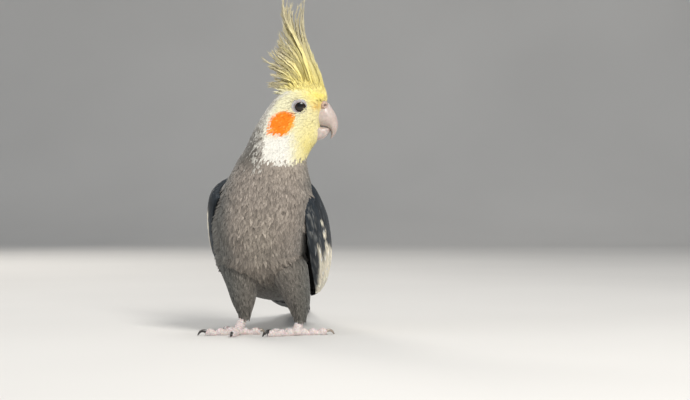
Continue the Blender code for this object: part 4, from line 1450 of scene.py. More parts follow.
@dataclass(frozen=True)
class WingTier:
    """One tier of wing feathers.

    Attributes:
        count: how many.
        roots, tips: depth of the first and the last one's root and tip.
        root_across, tip_across: their places from the lower edge (0) to the upper (1).
        half: half width in millimetres.
        lift: height of the tips over the wing's face.
        columns, stations: the grid of each.
        fray: how uneven the ends are, in millimetres.
    """

    count: int
    roots: tuple[float, float]
    tips: tuple[float, float]
    root_across: tuple[float, float]
    tip_across: tuple[float, float]
    half: float
    lift: float
    columns: int = 9
    stations: int = 14
    fray: float = 0.35


class Wing:
    """One folded wing, feather by feather, over its under face, which is painted dark as shade.

    Attributes:
        core_end: depth where the under face ends.
        drop: how far it lies under the wing's outline.
        root_drop: how much deeper the feathers' roots are.
        core_rows, roll_rows, core_columns: its grid, and the rows of its rolled front.
        taper: how much thinner it is at its end.
        inner: its colour on the inside, a painted shade.
        flight_tiers: how many tiers, from the first on, are flight feathers.
        strays: how far single feathers stray in the tip's depth, the tip's place across, the share
            of the half width, the height, and the angle and depth of their colour.
        lean: how much higher one edge of a feather is than its middle.
        arch: how far its edges bend down, as a share of the half width.
        tip_curve: how far the edges lag behind the tip, as a share of the half width.
        fringe: how much lighter a feather's sides and its tip are.
    """

    core_end = 104.0
    drop = 0.9
    root_drop = 0.4
    core_rows, roll_rows, core_columns = 70, 8, 40
    taper = 0.85
    inner = 0.018
    flight_tiers = 4
    strays = (1.0, 0.008, 0.06, 0.10, 1.3, 0.8)
    lean = 0.25
    arch = 0.10
    tip_curve = 0.55
    fringe = (0.35, 0.8)
    tiers = (
        WingTier(8, (20, 58), (138.5, 96), (0.10, 0.46), (0.45, 0.60), 5.2, -0.6, stations=20),
        WingTier(10, (12, 24), (90, 78), (0.10, 0.86), (0.08, 0.88), 5.6, -0.1, stations=18),
        WingTier(3, (10, 14), (76, 60), (0.72, 0.92), (0.76, 0.94), 6.6, 0.2),
        WingTier(12, (8, 18), (61, 52), (0.05, 0.94), (0.04, 0.94), 4.6, 0.3),
        WingTier(14, (2, 8), (45, 38), (0.04, 0.95), (0.03, 0.95), 4.1, 0.42),
        WingTier(15, (-2, 3), (33, 28), (0.03, 0.95), (0.02, 0.96), 3.8, 0.54, 7, 10),
        WingTier(16, (-5, 0), (24, 20), (0.03, 0.95), (0.02, 0.96), 3.4, 0.66, 7, 9),
        WingTier(17, (-8, -4), (17, 14), (0.03, 0.96), (0.02, 0.97), 3.1, 0.76, 7, 9),
        WingTier(18, (-10, -7), (11, 9), (0.02, 0.96), (0.02, 0.97), 2.8, 0.84, 7, 9),
        WingTier(18, (-11, -9), (6, 4.5), (0.02, 0.97), (0.02, 0.97), 2.6, 0.9, 7, 9),
        WingTier(18, (-12, -11), (1.5, 0.5), (0.02, 0.97), (0.02, 0.97), 2.5, 0.9, 7, 9),
        WingTier(18, (-12.6, -12), (-3, -3.5), (0.02, 0.97), (0.02, 0.97), 2.4, 0.85, 7, 8),
        WingTier(18, (-12.8, -12.8), (-7, -7), (0.02, 0.97), (0.02, 0.97), 2.3, 0.75, 7, 7),
    )

    def __init__(self, side: Side, rng: np.random.Generator) -> None:
        self.side = side
        self.rng = rng
        self.surface = WingSurface(side)

    def build(self) -> None:
        """The under face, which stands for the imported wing, and every tier."""
        self.under()
        for number, tier in enumerate(self.tiers):
            finish = WING_COAT if number < self.flight_tiers else COVERT_COAT
            name = f"wing_{self.side.word}_tier_{number + 1}"
            self.tier(tier).build(name, finish, "wing_feather")

    def under(self) -> None:
        """A closed blade just under the feathers, bent like the wing and rolled at its front."""
        roll = self.surface.roll
        front = WING_SPAN[0] + roll
        lead = front - roll * np.linspace(np.pi / 2, 0.1, self.roll_rows)
        depth = np.concatenate([lead, np.linspace(front, self.core_end, self.core_rows)])
        rows, columns = len(depth), self.core_columns
        d, v = lattice(depth, np.linspace(0, 1, columns))
        outer = self.surface.over(d, v, -self.drop)
        back = np.clip((d - front) / (self.core_end - front), 0, 1)
        thick = 2 * (roll - self.drop) * (1 - self.taper * back)
        inner = self.surface.over(np.maximum(d, front), v, -self.drop - thick)
        turn = np.clip((front - d) / roll, 0, np.pi / 2)[..., None]
        middle = self.surface.over(np.full_like(d, front), v, -roll)
        fold = middle + (inner - middle) * np.cos(turn) + (outer[:1] - middle) * np.sin(turn)
        inner = np.where(turn > 0, fold, inner)
        rings = np.concatenate([outer, inner[:, ::-1]], 1)
        near = np.arange(columns - 1)
        far = 2 * columns - 1 - near
        cap = np.stack([near, near + 1, far - 1, far], 1)
        faces = [grid_faces(rows, 2 * columns, True), cap, cap + (rows - 1) * 2 * columns]
        # Painted shade: the outer face at half the wing's colour, as seen between the feathers, and
        # the inside near black.
        colour = PLUMAGE.wing(self.side, d, self.surface.angle(d, v), outer) * 0.5
        pigment = np.concatenate([colour, np.full_like(colour, self.inner)], 1)
        name = "wing_" + self.side.word
        make_mesh(name + "_under", rings.reshape(-1, 3), faces, UNDER_SKIN,
                  pigment.reshape(-1, 3), (name,))

    def tier(self, tier: WingTier) -> Vanes:
        """The vanes of one tier.

        Each is a grid whose points lie on the wing's face at a depth and a place across, raised
        from under the face at the root to the tier's lift, with one edge over its neighbour.
        """
        count, rows, columns = tier.count, tier.stations, tier.columns
        share = np.linspace(0, 1, count)
        stray = self.rng.uniform(-1, 1, (len(self.strays), count))
        stray = stray * np.array(self.strays)[:, None]
        higher, turned, moved = stray[3:, :, None, None]
        along = np.linspace(0, 1, rows)
        across = np.linspace(-1, 1, columns)
        root, tip = between(tier.roots, share), between(tier.tips, share) + stray[0]
        start = between(tier.root_across, share)
        end = between(tier.tip_across, share) + stray[1]
        half = tier.half * (1 + stray[2])
        depth = root[:, None] + (tip - root)[:, None] * along
        middle = start[:, None] + (end - start)[:, None] * along ** 0.8
        width = np.clip(np.minimum((along + 0.12) * 3.2, 1), 0, 1)
        width = width * np.sqrt(np.clip(1 - along ** 7, 0, 1))
        reach = half[:, None] * (width + 0.05) / self.surface.width(depth)
        fray = self.rng.uniform(-1, 1, (count, 1, columns)) * tier.fray
        edge = across ** 2 * half[:, None, None] * self.tip_curve + fray
        deep = depth[..., None] - edge * (along ** 3)[:, None]
        place = np.clip(middle[..., None] + reach[..., None] * across, -0.03, 1.02)
        lift = between((-self.drop - self.root_drop, tier.lift), np.minimum(along / 0.45, 1))
        raised = lift[:, None] + self.lean * across * width[:, None]
        raised = raised - self.arch * half.mean() * across ** 2 + higher
        points = self.surface.over(deep, place, raised)
        angle = self.surface.angle(deep, place) + turned
        fringe = np.maximum(np.abs(across) ** 4 * self.fringe[0],
                            (along ** 12)[:, None] * self.fringe[1])
        pigment = PLUMAGE.wing(self.side, deep + moved, angle, points)
        pigment = pigment * (1 + fringe)[..., None]
        roots = np.stack([start, self.surface.share(root)], 1) * 0.98 + 0.01
        return Vanes(points, roots, self.rng.uniform(0, 1, count), pigment)


class Tail:
    """Six pairs of long feathers, their coverts and the form under them.

    Attributes:
        core_start, core_end: depths between which the core lies.
        core_rows, core_ring: its grid.
        core_size: its width and thickness, as shares of the tail's.
        table_samples: for reading the tail's table.
        vane_start: depth of the long feathers' roots.
        rows, columns: the grid of each feather.
        floor_gap: the least height of a feather.
        coverts: name, root, tip, step from tier to tier of the tips, lift and its step.
        covert_tiers, covert_half: how many tiers, and each covert's half width.
        covert_places: how far aside the coverts of a tier are.
    """

    core_start, core_end = 61.0, 118.0
    core_rows, core_ring = 40, 32
    core_size = (0.8, 0.6)
    table_samples = 200
    vane_start = 64.0
    rows, columns = 24, 9
    floor_gap = 0.12
    coverts = (
        ("tail_coverts", 52.0, 78.0, 11, 2.9, -0.45),
        ("tail_under_coverts", 55.0, 76.0, 10, -2.9, 0.5),
    )
    covert_tiers = 4
    covert_half = 3.6
    covert_places = (1.6, 4.8, 8.0)

    def __init__(self, rng: np.random.Generator) -> None:
        self.rng = rng

    def line(self, depth: Array) -> tuple[Array, ...]:
        """Height, half width and half thickness at each depth."""
        dense = curve(TAIL, np.linspace(0, len(TAIL) - 1, self.table_samples)).T
        return tuple(np.interp(depth, dense[0], line) for line in dense[1:])

    def build(self) -> None:
        """The core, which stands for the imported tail, then every vane."""
        self.core()
        vanes = [self.vane(side, root, tip, self.vane_start, end, half, lift)
                 for side in (1, -1) for root, tip, end, half, lift in TAIL_PAIRS]
        Vanes.joined(vanes).build("tail_vanes", TAIL_COAT, "tail_feather")
        for name, start, end, end_step, lift, lift_step in self.coverts:
            vanes = [
                self.vane(side, place, place * 0.9, start + step * 6, end + step * end_step,
                          self.covert_half, lift + step * lift_step)
                for step in range(self.covert_tiers) for side in (1, -1)
                for place in self.covert_places
            ]
            Vanes.joined(vanes).build(name, TAIL_COAT, "tail_feather")

    def core(self) -> None:
        """The fleshy root of the tail."""
        depth, around = lattice(np.linspace(self.core_start, self.core_end, self.core_rows),
                                turns(self.core_ring))
        height, wide, thick = self.line(depth)
        points = np.stack([wide * self.core_size[0] * np.cos(around), depth,
                           height + thick * self.core_size[1] * np.sin(around)], -1)
        # Painted shade: the core at half the tail's colour, as seen between the feathers.
        make_grid("tail_under", points, UNDER_SKIN, PLUMAGE.tail(points) * 0.5, "tail_feather",
                  "tail")

    def vane(self, side: int, root: float, tip: float, start: float, end: float, half: float,
             lift: float) -> Vanes:
        """One feather, flat across the tail and laid on the floor at its end.

        Args:
            side: the sign of X.
            root, tip: how far aside they are.
            start, end: their depths.
            half: its half width.
            lift: its height over the tail's centre line at the root.

        Returns:
            A single vane.
        """
        along, across = np.linspace(0, 1, self.rows)[:, None], np.linspace(-1, 1, self.columns)
        depth = between((start, end), along)
        width = np.minimum((along + 0.15) * 2.5, 1) * np.clip(1 - along ** 3.2, 0, 1) ** 0.6
        middle = side * between((root, tip), along)
        fray = self.rng.uniform(-1, 1, self.columns) * 0.5
        deep = depth - (np.abs(across) * half * 0.8 + fray) * along ** 4
        x = middle + across * half * (width + 0.03)
        z = self.line(depth)[0] + lift * (1 - 0.6 * along)
        z = z - 0.3 * across * side - 0.12 * half * across ** 2 + self.rng.uniform(-0.1, 0.1)
        points = np.stack([x, deep, np.maximum(z, self.floor_gap)], -1)[None]
        roots = np.array([[0.5 + middle[0, 0] / 40, (start - 50) / 170]])
        return Vanes(points, roots, self.rng.uniform(0, 1, 1), PLUMAGE.tail(points))


class Crest:
    """The raised crest, feather by feather, with loose barbs and the short feathers at its root.

    Attributes:
        shifts, asides: for each copy of the table's feathers, how far along the table and how far
            to the side it is.
        rows, columns: the grid of each feather.
        side_stray, bend_stray: spread of the feathers' places aside, and of their bends.
        scales: lengths of the copies, as shares of the table's.
        facing: how far the vanes turn to the side, in degrees.
        fray: their edges' reach, as shares of the half width.
        half, least_half: their half width at its most, and what is added to it everywhere.
        barbs, barb: how many loose barbs, and their form.
        slant, barb_length, barb_half: the barbs' angle to the shaft, length and half width.
        short: the form of the crown's feathers.
        crown_lean: how far forward, and the lean backwards of the short feathers there.
        crown_aside, crown_along: distances aside and forward, and the short feathers' length.
    """

    shifts = (0.0, 0.34, 0.67, 0.5, 0.17, 0.84, 0.25)
    asides = (0.0, 1.0, -1.0, 2.0, -1.6, 0.5, -0.5)
    rows, columns = 14, 5
    side_stray, bend_stray = 0.4, 0.7
    scales = (0.62, 0.97)
    facing = (35, 80)
    fray = (0.5, 1.2)
    half, least_half = 1.05, 0.1
    barbs = 2600
    slant, barb_length, barb_half = (7, 24), (2.0, 5.5), (0.10, 0.2)
    barb = VaneShape(4, 2, (1.0, 0.9, 0.7, 0.2), 0.0, 0.0, 0.0)
    short = VaneShape(7, 5, (0.6, 0.95, 1.0, 0.9, 0.75, 0.5, 0.15), 0.2, 0.8, 0.10)
    crown_lean = ((10, 13, 16, 18, 21, 26, 34), (92, 82, 66, 52, 34, 22, 16))
    crown_aside = ((0, 4, 9), (12.5, 9.0, 4.5))
    crown_along = ((10, 16, 22, 31, 35), (0.7, 0.9, 1.1, 0.85, 0.6))

    def __init__(self, body: Body, rng: np.random.Generator) -> None:
        self.body = body
        self.rng = rng

    def build(self) -> None:
        """Feathers along the table's curves and between them, barbs along them, then the crown."""
        keys = np.arange(len(CREST), dtype=float)
        parts, lines, sides = [], [], []
        for copy, (shift, aside) in enumerate(zip(self.shifts, self.asides)):
            place = np.clip(keys + shift, 0, len(CREST) - 1)
            side = aside + self.side_stray * self.rng.normal(size=len(place))
            scale = self.rng.uniform(*self.scales, len(place)) if copy else np.ones(len(place))
            flat = self.lines(curve(CREST, place), scale)
            lines.append(flat)
            sides.append(side)
            parts.append(self.vanes(flat, side, copy))
        Vanes.joined(parts).build("crest", CREST_COAT, "face_feather")
        self.loose(np.concatenate(lines), np.concatenate(sides))
        self.crown()

    def lines(self, line: Array, scale: Array) -> Array:
        """Each feather's shaft, as forward and height, with a small bend of its own."""
        along = np.linspace(0, 1, self.rows)
        keys = line.reshape(len(line), 5, 2)
        reach = along * scale[:, None] * 4
        flat = np.stack([curve(key, spots) for key, spots in zip(keys, reach)])
        stray = self.rng.normal(0, self.bend_stray, (len(line), 1)) * (along ** 2)
        stray = stray * (scale < 1)[:, None]
        return flat + self.across(unit(np.gradient(flat, axis=1))) * stray[..., None]

    @staticmethod
    def across(run: Array) -> Array:
        """A flat direction turned by a quarter."""
        return np.stack([-run[..., 1], run[..., 0]], -1)

    def vanes(self, flat: Array, side: Array, copy: int) -> Vanes:
        """Narrow vanes that turn partly to the side, frayed at their edges."""
        count = len(flat)
        along, across = np.linspace(0, 1, self.rows), np.linspace(-1, 1, self.columns)
        run = unit(np.gradient(flat, axis=1))
        facing = np.radians(self.rng.uniform(*self.facing, count))[:, None, None]
        facing = facing * np.sign(self.rng.uniform(-1, 1, count))[:, None, None]
        half = self.half * np.minimum(0.5 + along * 2.2, 1)
        half = half * np.clip(1 - along ** 1.7, 0, 1) ** 0.8 + self.least_half
        edge = across * self.rng.uniform(*self.fray, (count, self.rows, self.columns))
        wide = half[None, :, None] * edge
        spot = flat[:, :, None] + self.across(run)[:, :, None] * (wide * np.sin(facing))[..., None]
        spot = spot + run[:, :, None] * (np.abs(wide) * 0.9)[..., None]
        off = self.aside(side, along)[:, :, None] + wide * np.cos(facing)
        points = head_point(spot[..., 0], off, spot[..., 1])
        pigment = PLUMAGE.crest(points, np.broadcast_to(along[:, None], wide.shape))
        pigment = pigment * self.rng.uniform(0.85, 1.12, (count, 1, 1, 1))
        roots = np.stack([0.1 + 0.8 * np.arange(count) / count,
                          np.full(count, 0.1 + 0.11 * copy)], 1)
        return Vanes(points, roots, self.rng.uniform(0, 1, count), pigment)

    @staticmethod
    def aside(side: Array, along: Array) -> Array:
        """How far each feather is from the head's middle, narrowing towards the tips."""
        return side[:, None] * (1.0 - 0.35 * along) * 1.15

    def loose(self, flat: Array, side: Array) -> None:
        """Single barbs that leave the shafts at a slant and bend along them."""
        count = self.barbs
        which = self.rng.integers(0, len(flat), count)
        place = self.rng.uniform(0.18, 1.0, count) ** 0.8
        step = place * (self.rows - 1)
        first = np.minimum(step.astype(int), self.rows - 2)
        chord = flat[which, first + 1] - flat[which, first]
        start = flat[which, first] + chord * (step - first)[:, None]
        run = unit(chord)
        turn = np.radians(self.rng.uniform(*self.slant, count))
        turn = turn * np.sign(self.rng.uniform(-1, 1, count))
        way = run * np.cos(turn)[:, None] + self.across(run) * np.sin(turn)[:, None]
        length = self.rng.uniform(*self.barb_length, count) * (1.15 - 0.5 * place)
        t = np.linspace(0, 1, self.barb.stations)
        bend = (0.3 * t ** 2)[:, None]
        path = start[:, None] + length[:, None, None] * (
            way[:, None] * (t[:, None] - bend) + run[:, None] * bend)
        off = self.aside(side[which], place[:, None]) + self.rng.uniform(-1.1, 1.1, (count, 1)) * t
        spine = head_point(path[..., 0], off, path[..., 1])
        normal = np.broadcast_to(head_way(0.0, -1.0, 0.0), spine.shape)
        pigment = PLUMAGE.crest(spine[:, 0], place) * self.rng.uniform(0.85, 1.3, (count, 1))
        roots = np.stack([0.1 + 0.8 * place, 0.88 + 0.1 * self.rng.uniform(0, 1, count)], 1)
        half = self.rng.uniform(*self.barb_half, count)
        vanes = Vanes.from_walk(spine, normal, half, self.barb, roots, pigment, self.rng)
        vanes.build("crest_barbs", CREST_COAT, "face_feather")

    def crown(self) -> None:
        """Short feathers of forehead and crown, which rise into the crest.

        Each leaves the head along the coat's lie and ends in the crest's direction there, as
        root + length x (lie x (t - t^2 / 2) + end x t^2 / 2).
        """
        surface = self.body.surface
        u, v = surface.roots(lambda p: np.full(len(p), 0.95), self.rng, 0.8, 0.996)
        forward, side, height = head_place(surface.at(u, v))
        keep = (forward > 12) & (height > 139.5 - 0.12 * (forward - 20)) & (height > 137.5)
        keep &= np.abs(side) < 9.5
        u, v, forward, side = u[keep], v[keep], forward[keep], side[keep]
        count = len(u)
        points, normal = surface.at(u, v), surface.normal(u, v)
        lie = laid(Body.heading(points, surface.tangents(u, v)[0]), normal)
        lean = np.radians(np.interp(forward, *self.crown_lean)) + self.rng.normal(0, 0.08, count)
        spray = -side * 0.035 + self.rng.normal(0, 0.06, count)
        end = unit(head_way(-np.sin(lean), spray, np.cos(lean)))
        length = np.interp(np.abs(side), *self.crown_aside)
        length = length * np.interp(forward, *self.crown_along)
        length = length * self.rng.uniform(0.65, 1.2, count)
        t = np.linspace(0, 1, self.short.stations)[:, None]
        spine = points[:, None] - normal[:, None] * 0.6 + length[:, None, None] * (
            lie[:, None] * (t - t ** 2 / 2) + end[:, None] * (t ** 2 / 2))
        outward = head_way(0.0, np.sign(side), 0.0)
        facing = np.broadcast_to(unit(normal + outward * 0.9)[:, None], spine.shape)
        root = blend(PLUMAGE.cream, PLUMAGE.coat(points), smoothstep(forward, 14, 18))
        crest = PLUMAGE.crest(points, np.full(count, 0.15))
        pigment = blend(root, crest, smoothstep(forward, 13, 19))
        pigment = pigment * self.rng.uniform(0.9, 1.1, (count, 1))
        roots = np.stack([v % 1, u], 1)
        vanes = Vanes.from_walk(spine, facing, length * 0.085 + 0.25, self.short, roots, pigment,
                                self.rng)
        vanes.build("crown_coat", CREST_COAT, "face_feather")


class Face:
    """Eyes, the bare rings round them, cere and bill.

    Attributes:
        eye_grid, lid_grid, upper_grid, lower_grid, cere_grid: rows and columns of the pieces.
        eye_gap: how much smaller than its radius the eyeball is made.
        ring_half: half sizes of the bare ring, forward and up.
        newton_steps: for finding the body's outline.
        iris_from, iris_to: angles from the pole where the dark ring begins and ends.
        ring_gap: how far under the body's outline the bare ring meets it.
        rims: place, width and height of each rounded rim, from the opening out.
        folds, beads: height and number of the ring's folds, and of the lid's beads.
        growth: height and closeness of the upper bill's lines.
        lower_power, lower_rise: how square the lower bill's rings are, and how much it is raised.
        nostril_side: how far aside the nostril is.
        pit_size, pit_depth: of the nostril's pit.
        rim_at, rim_width, rim_height: of the rim round it.
        Every other value is a colour.
    """

    eye_grid, lid_grid = (65, 64), (26, 120)
    upper_grid, lower_grid, cere_grid = (90, 64), (40, 48), (90, 120)
    eye_gap = 0.12
    ring_half = (4.8 * 1.08, 4.8 * 0.95)
    newton_steps = 12
    iris_from, iris_to = (0.30, 0.34), (0.56, 0.60)
    ring_gap = 0.3
    rims = ((0.13, 0.12, 0.42), (0.42, 0.08, 0.12))
    folds, beads = (0.05, 62), (0.05, 34)
    growth = (0.006, 26)
    lower_power, lower_rise = 0.7, 0.5
    nostril_side = 3.2
    pit_size, pit_depth = 0.78, 0.30
    rim_at, rim_width, rim_height = 1.35, 0.45, 0.05
    pupil: Colour = (0.003, 0.003, 0.004)
    iris: Colour = (0.022, 0.010, 0.005)
    lid: Colour = (0.60, 0.56, 0.57)
    upper: Colour = (0.60, 0.50, 0.455)
    upper_tip: Colour = (0.34, 0.27, 0.24)
    lower: Colour = (0.56, 0.47, 0.43)
    lower_tip: Colour = (0.36, 0.28, 0.25)
    flesh: Colour = (0.62, 0.46, 0.38)
    # Painted shade of the nostril's opening.
    nostril: Colour = (0.10, 0.05, 0.04)

    def __init__(self, body: Body) -> None:
        self.body = body

    def build(self) -> None:
        """Every piece of the face."""
        for side in Side:
            self.eye(side)
            self.lids(side)
        self.upper_bill()
        self.lower_bill()
        self.cere()

    def gaze(self, side: Side) -> tuple[Array, Array, Array, Array]:
        """Centre of the eyeball, then its outward, forward and upward directions."""
        centre = head_point(EYE_AT[0], side.value * EYE_DEPTH, EYE_AT[1])
        out = unit(head_way(0.06, side.value * 1.0, 0.0))
        ahead = laid(unit(head_way(1.0, 0.0, 0.0)), out)
        up = np.cross(out, ahead) * side.value * -1
        return centre, out, ahead, up if up[2] > 0 else -up

    def eye(self, side: Side) -> None:
        """A ball whose pole looks outward, black with a dark brown ring."""
        centre, out, ahead, up = self.gaze(side)
        polar, around, _ = ball_grid(*self.eye_grid)
        ring = np.cos(around)[..., None] * ahead + np.sin(around)[..., None] * up
        points = centre + (EYE_RADIUS - self.eye_gap) * (
            np.cos(polar)[..., None] * out + np.sin(polar)[..., None] * ring)
        iris = smoothstep(polar, *self.iris_from) * fade(polar, *self.iris_to)
        make_grid("eyeball_" + side.word, points, EYE, blend(self.pupil, self.iris, iris), "eye",
                  "eye_" + side.word)

    def lids(self, side: Side) -> None:
        """The bare ring round the eye, from the lids' rim out under the feathers.

        Rings run from the rim on the ball, over a rounded lid with fine folds, down to the skin.
        Their height over the ball's centre follows the ball near the rim and blends into the
        body's outline further out, and never goes under the ball.
        """
        centre, out, ahead, up = self.gaze(side)
        around = turns(self.lid_grid[1])
        share = np.linspace(0, 1, self.lid_grid[0])[:, None]
        a = between((EYE_OPENING[0], self.ring_half[0]), share) * np.cos(around)
        b = between((EYE_OPENING[1], self.ring_half[1]), share) * np.sin(around)
        a, b = a + LID_SHIFT[0] * (1 - share), b + LID_SHIFT[1] * (1 - share * 0.5)
        flat = centre + a[..., None] * ahead + b[..., None] * up
        skin = self.height(flat, out, side) - self.ring_gap
        ball = np.sqrt(np.maximum(EYE_RADIUS ** 2 - np.minimum(a ** 2 + b ** 2, 22.0), 0.1))
        rim = sum(glow((share, at, width)) * high for at, width, high in self.rims)
        wave = np.sin(share * self.folds[1] + 0.7 * np.sin(around * 3))
        folds = self.folds[0] * wave * smoothstep(share, 0.2, 0.4)
        beads = self.beads[0] * np.sin(around * self.beads[1]) * glow((share, 0.1, 0.06))
        join = smoothstep(share, 0.15, 0.5)
        height = (ball + 0.02) * (1 - join) + skin * join
        height = np.maximum(height, ball + 0.1 * join) + rim + folds + beads
        height = height - 0.5 * smoothstep(share, 0.85, 1.0)
        points = flat + height[..., None] * out
        inner = flat[:1] + (height[:1] - 0.5)[..., None] * out
        # Painted light and shade: fold crests lighter and troughs darker, and the inner ring tucked
        # against the ball at a third; the ring also darkens towards the opening.
        shade = np.clip(0.55 + 0.5 * share, 0, 1) * (1 + folds * 2.5)
        pigment = np.concatenate([shade[:1] * 0.3, shade])[..., None] * self.lid
        make_grid("lids_" + side.word, np.concatenate([inner, points]), BARE_SKIN, pigment,
                  "face_feather")

    def height(self, flat: Array, out: Array, side: Side) -> Array:
        """How far along the outward direction the body's outline is, by Newton's steps.

        Args:
            flat: places in the plane through the ball's centre.
            out: the outward direction.
            side: whose eye it is.

        Returns:
            A distance for each place.
        """
        surface = self.body.surface
        u = np.full(flat.shape[:-1], 0.83)
        v = np.full(flat.shape[:-1], 0.25 if side is Side.LEFT else 0.75)
        reach = np.full(flat.shape[:-1], 5.0)
        for _ in range(self.newton_steps):
            miss = surface.at(u, v) - (flat + reach[..., None] * out)
            along, across = surface.tangents(u, v)
            slope = np.stack([along, across, np.broadcast_to(-out, along.shape)], -1)
            step = np.linalg.solve(slope, -miss[..., None])[..., 0]
            u = np.clip(u + np.clip(step[..., 0], -0.05, 0.05), 0.6, 0.999)
            v = v + np.clip(step[..., 1], -0.05, 0.05)
            reach = reach + np.clip(step[..., 2], -3, 3)
        return reach

    def upper_bill(self) -> None:
        """The hooked upper bill, keeled along its ridge, with fine growth lines."""
        at = np.linspace(0, len(UPPER_BILL) - 1, self.upper_grid[0])
        table = curve(UPPER_BILL, at)
        ridge, edge, half = table[:, 0:2], table[:, 2:4], table[:, 4:]
        middle, reach = (ridge + edge) / 2, (ridge - edge) / 2
        around = turns(self.upper_grid[1])
        c, s = np.cos(around), np.sin(around)
        keel = np.abs(s) ** np.where(c > 0, 1.12, 0.85) * np.sign(s)
        lines = 1 + self.growth[0] * np.sin(at * self.growth[1])[:, None] * (c > -0.3)
        flat = middle[:, None] + reach[:, None] * c[:, None]
        points = head_point(flat[..., 0], half * keel * lines, flat[..., 1])
        shade = smoothstep(at, 4.5, 8.0)[:, None] * 0.35 + 0.1 * (c < -0.4)
        points, pigment, faces = close_tube(points, blend(self.upper, self.upper_tip, shade))
        make_mesh("bill_top", points, faces, HORN, pigment, ("bill_upper",))

    def lower_bill(self) -> None:
        """The lower bill's scoop."""
        at = np.linspace(0, len(LOWER_BILL) - 1, self.lower_grid[0])
        forward, top, bottom, half = curve(LOWER_BILL, at).T[:, :, None]
        around = turns(self.lower_grid[1])
        c, s = (np.sign(wave) * np.abs(wave) ** self.lower_power
                for wave in (np.cos(around), np.sin(around)))
        top = top + self.lower_rise
        height = (top + bottom) / 2 + (top - bottom) / 2 * c
        points = head_point(forward + 0.5, half * s * 0.95, height)
        shade = np.broadcast_to(smoothstep(at, 2.4, 4)[:, None], height.shape)
        points, pigment, faces = close_tube(
            points, blend(self.lower, self.lower_tip, shade), both=False)
        make_mesh("bill_bottom", points, faces, HORN, pigment, ("bill_lower",))

    def cere(self) -> None:
        """The fleshy cere with a pit for each nostril and a raised rim round it."""
        polar, around, ball = ball_grid(*self.cere_grid, gap=0.001)
        spot = np.moveaxis(ball * np.array(CERE_HALF), -1, 0)
        near = np.hypot(CERE_AT[0] + spot[0] - NOSTRIL_AT[0], CERE_AT[1] + spot[2] - NOSTRIL_AT[1])
        inward = np.maximum(0, self.nostril_side - np.abs(spot[1]))
        reach = np.sqrt(near ** 2 + inward ** 2)
        pit = np.exp(-(reach / self.pit_size) ** 4)
        rim = glow((reach, self.rim_at, self.rim_width))
        grow = 1 + self.rim_height * rim - self.pit_depth * pit
        forward, side, height = spot * (grow + 0.012 * np.sin(around * 9 + polar * 14))
        points = head_point(CERE_AT[0] + forward, side, CERE_AT[1] + height)
        # The pit is painted dark as the shade inside the nostril.
        make_grid("cere_flesh", points, BARE_SKIN, blend(self.flesh, self.nostril, pit), "cere",
                  "cere")


@dataclass(frozen=True)
class Toe:
    """One row of the toes' table."""

    number: int
    heading: float
    length: float
    pads: int
    claw: float
    pale: int


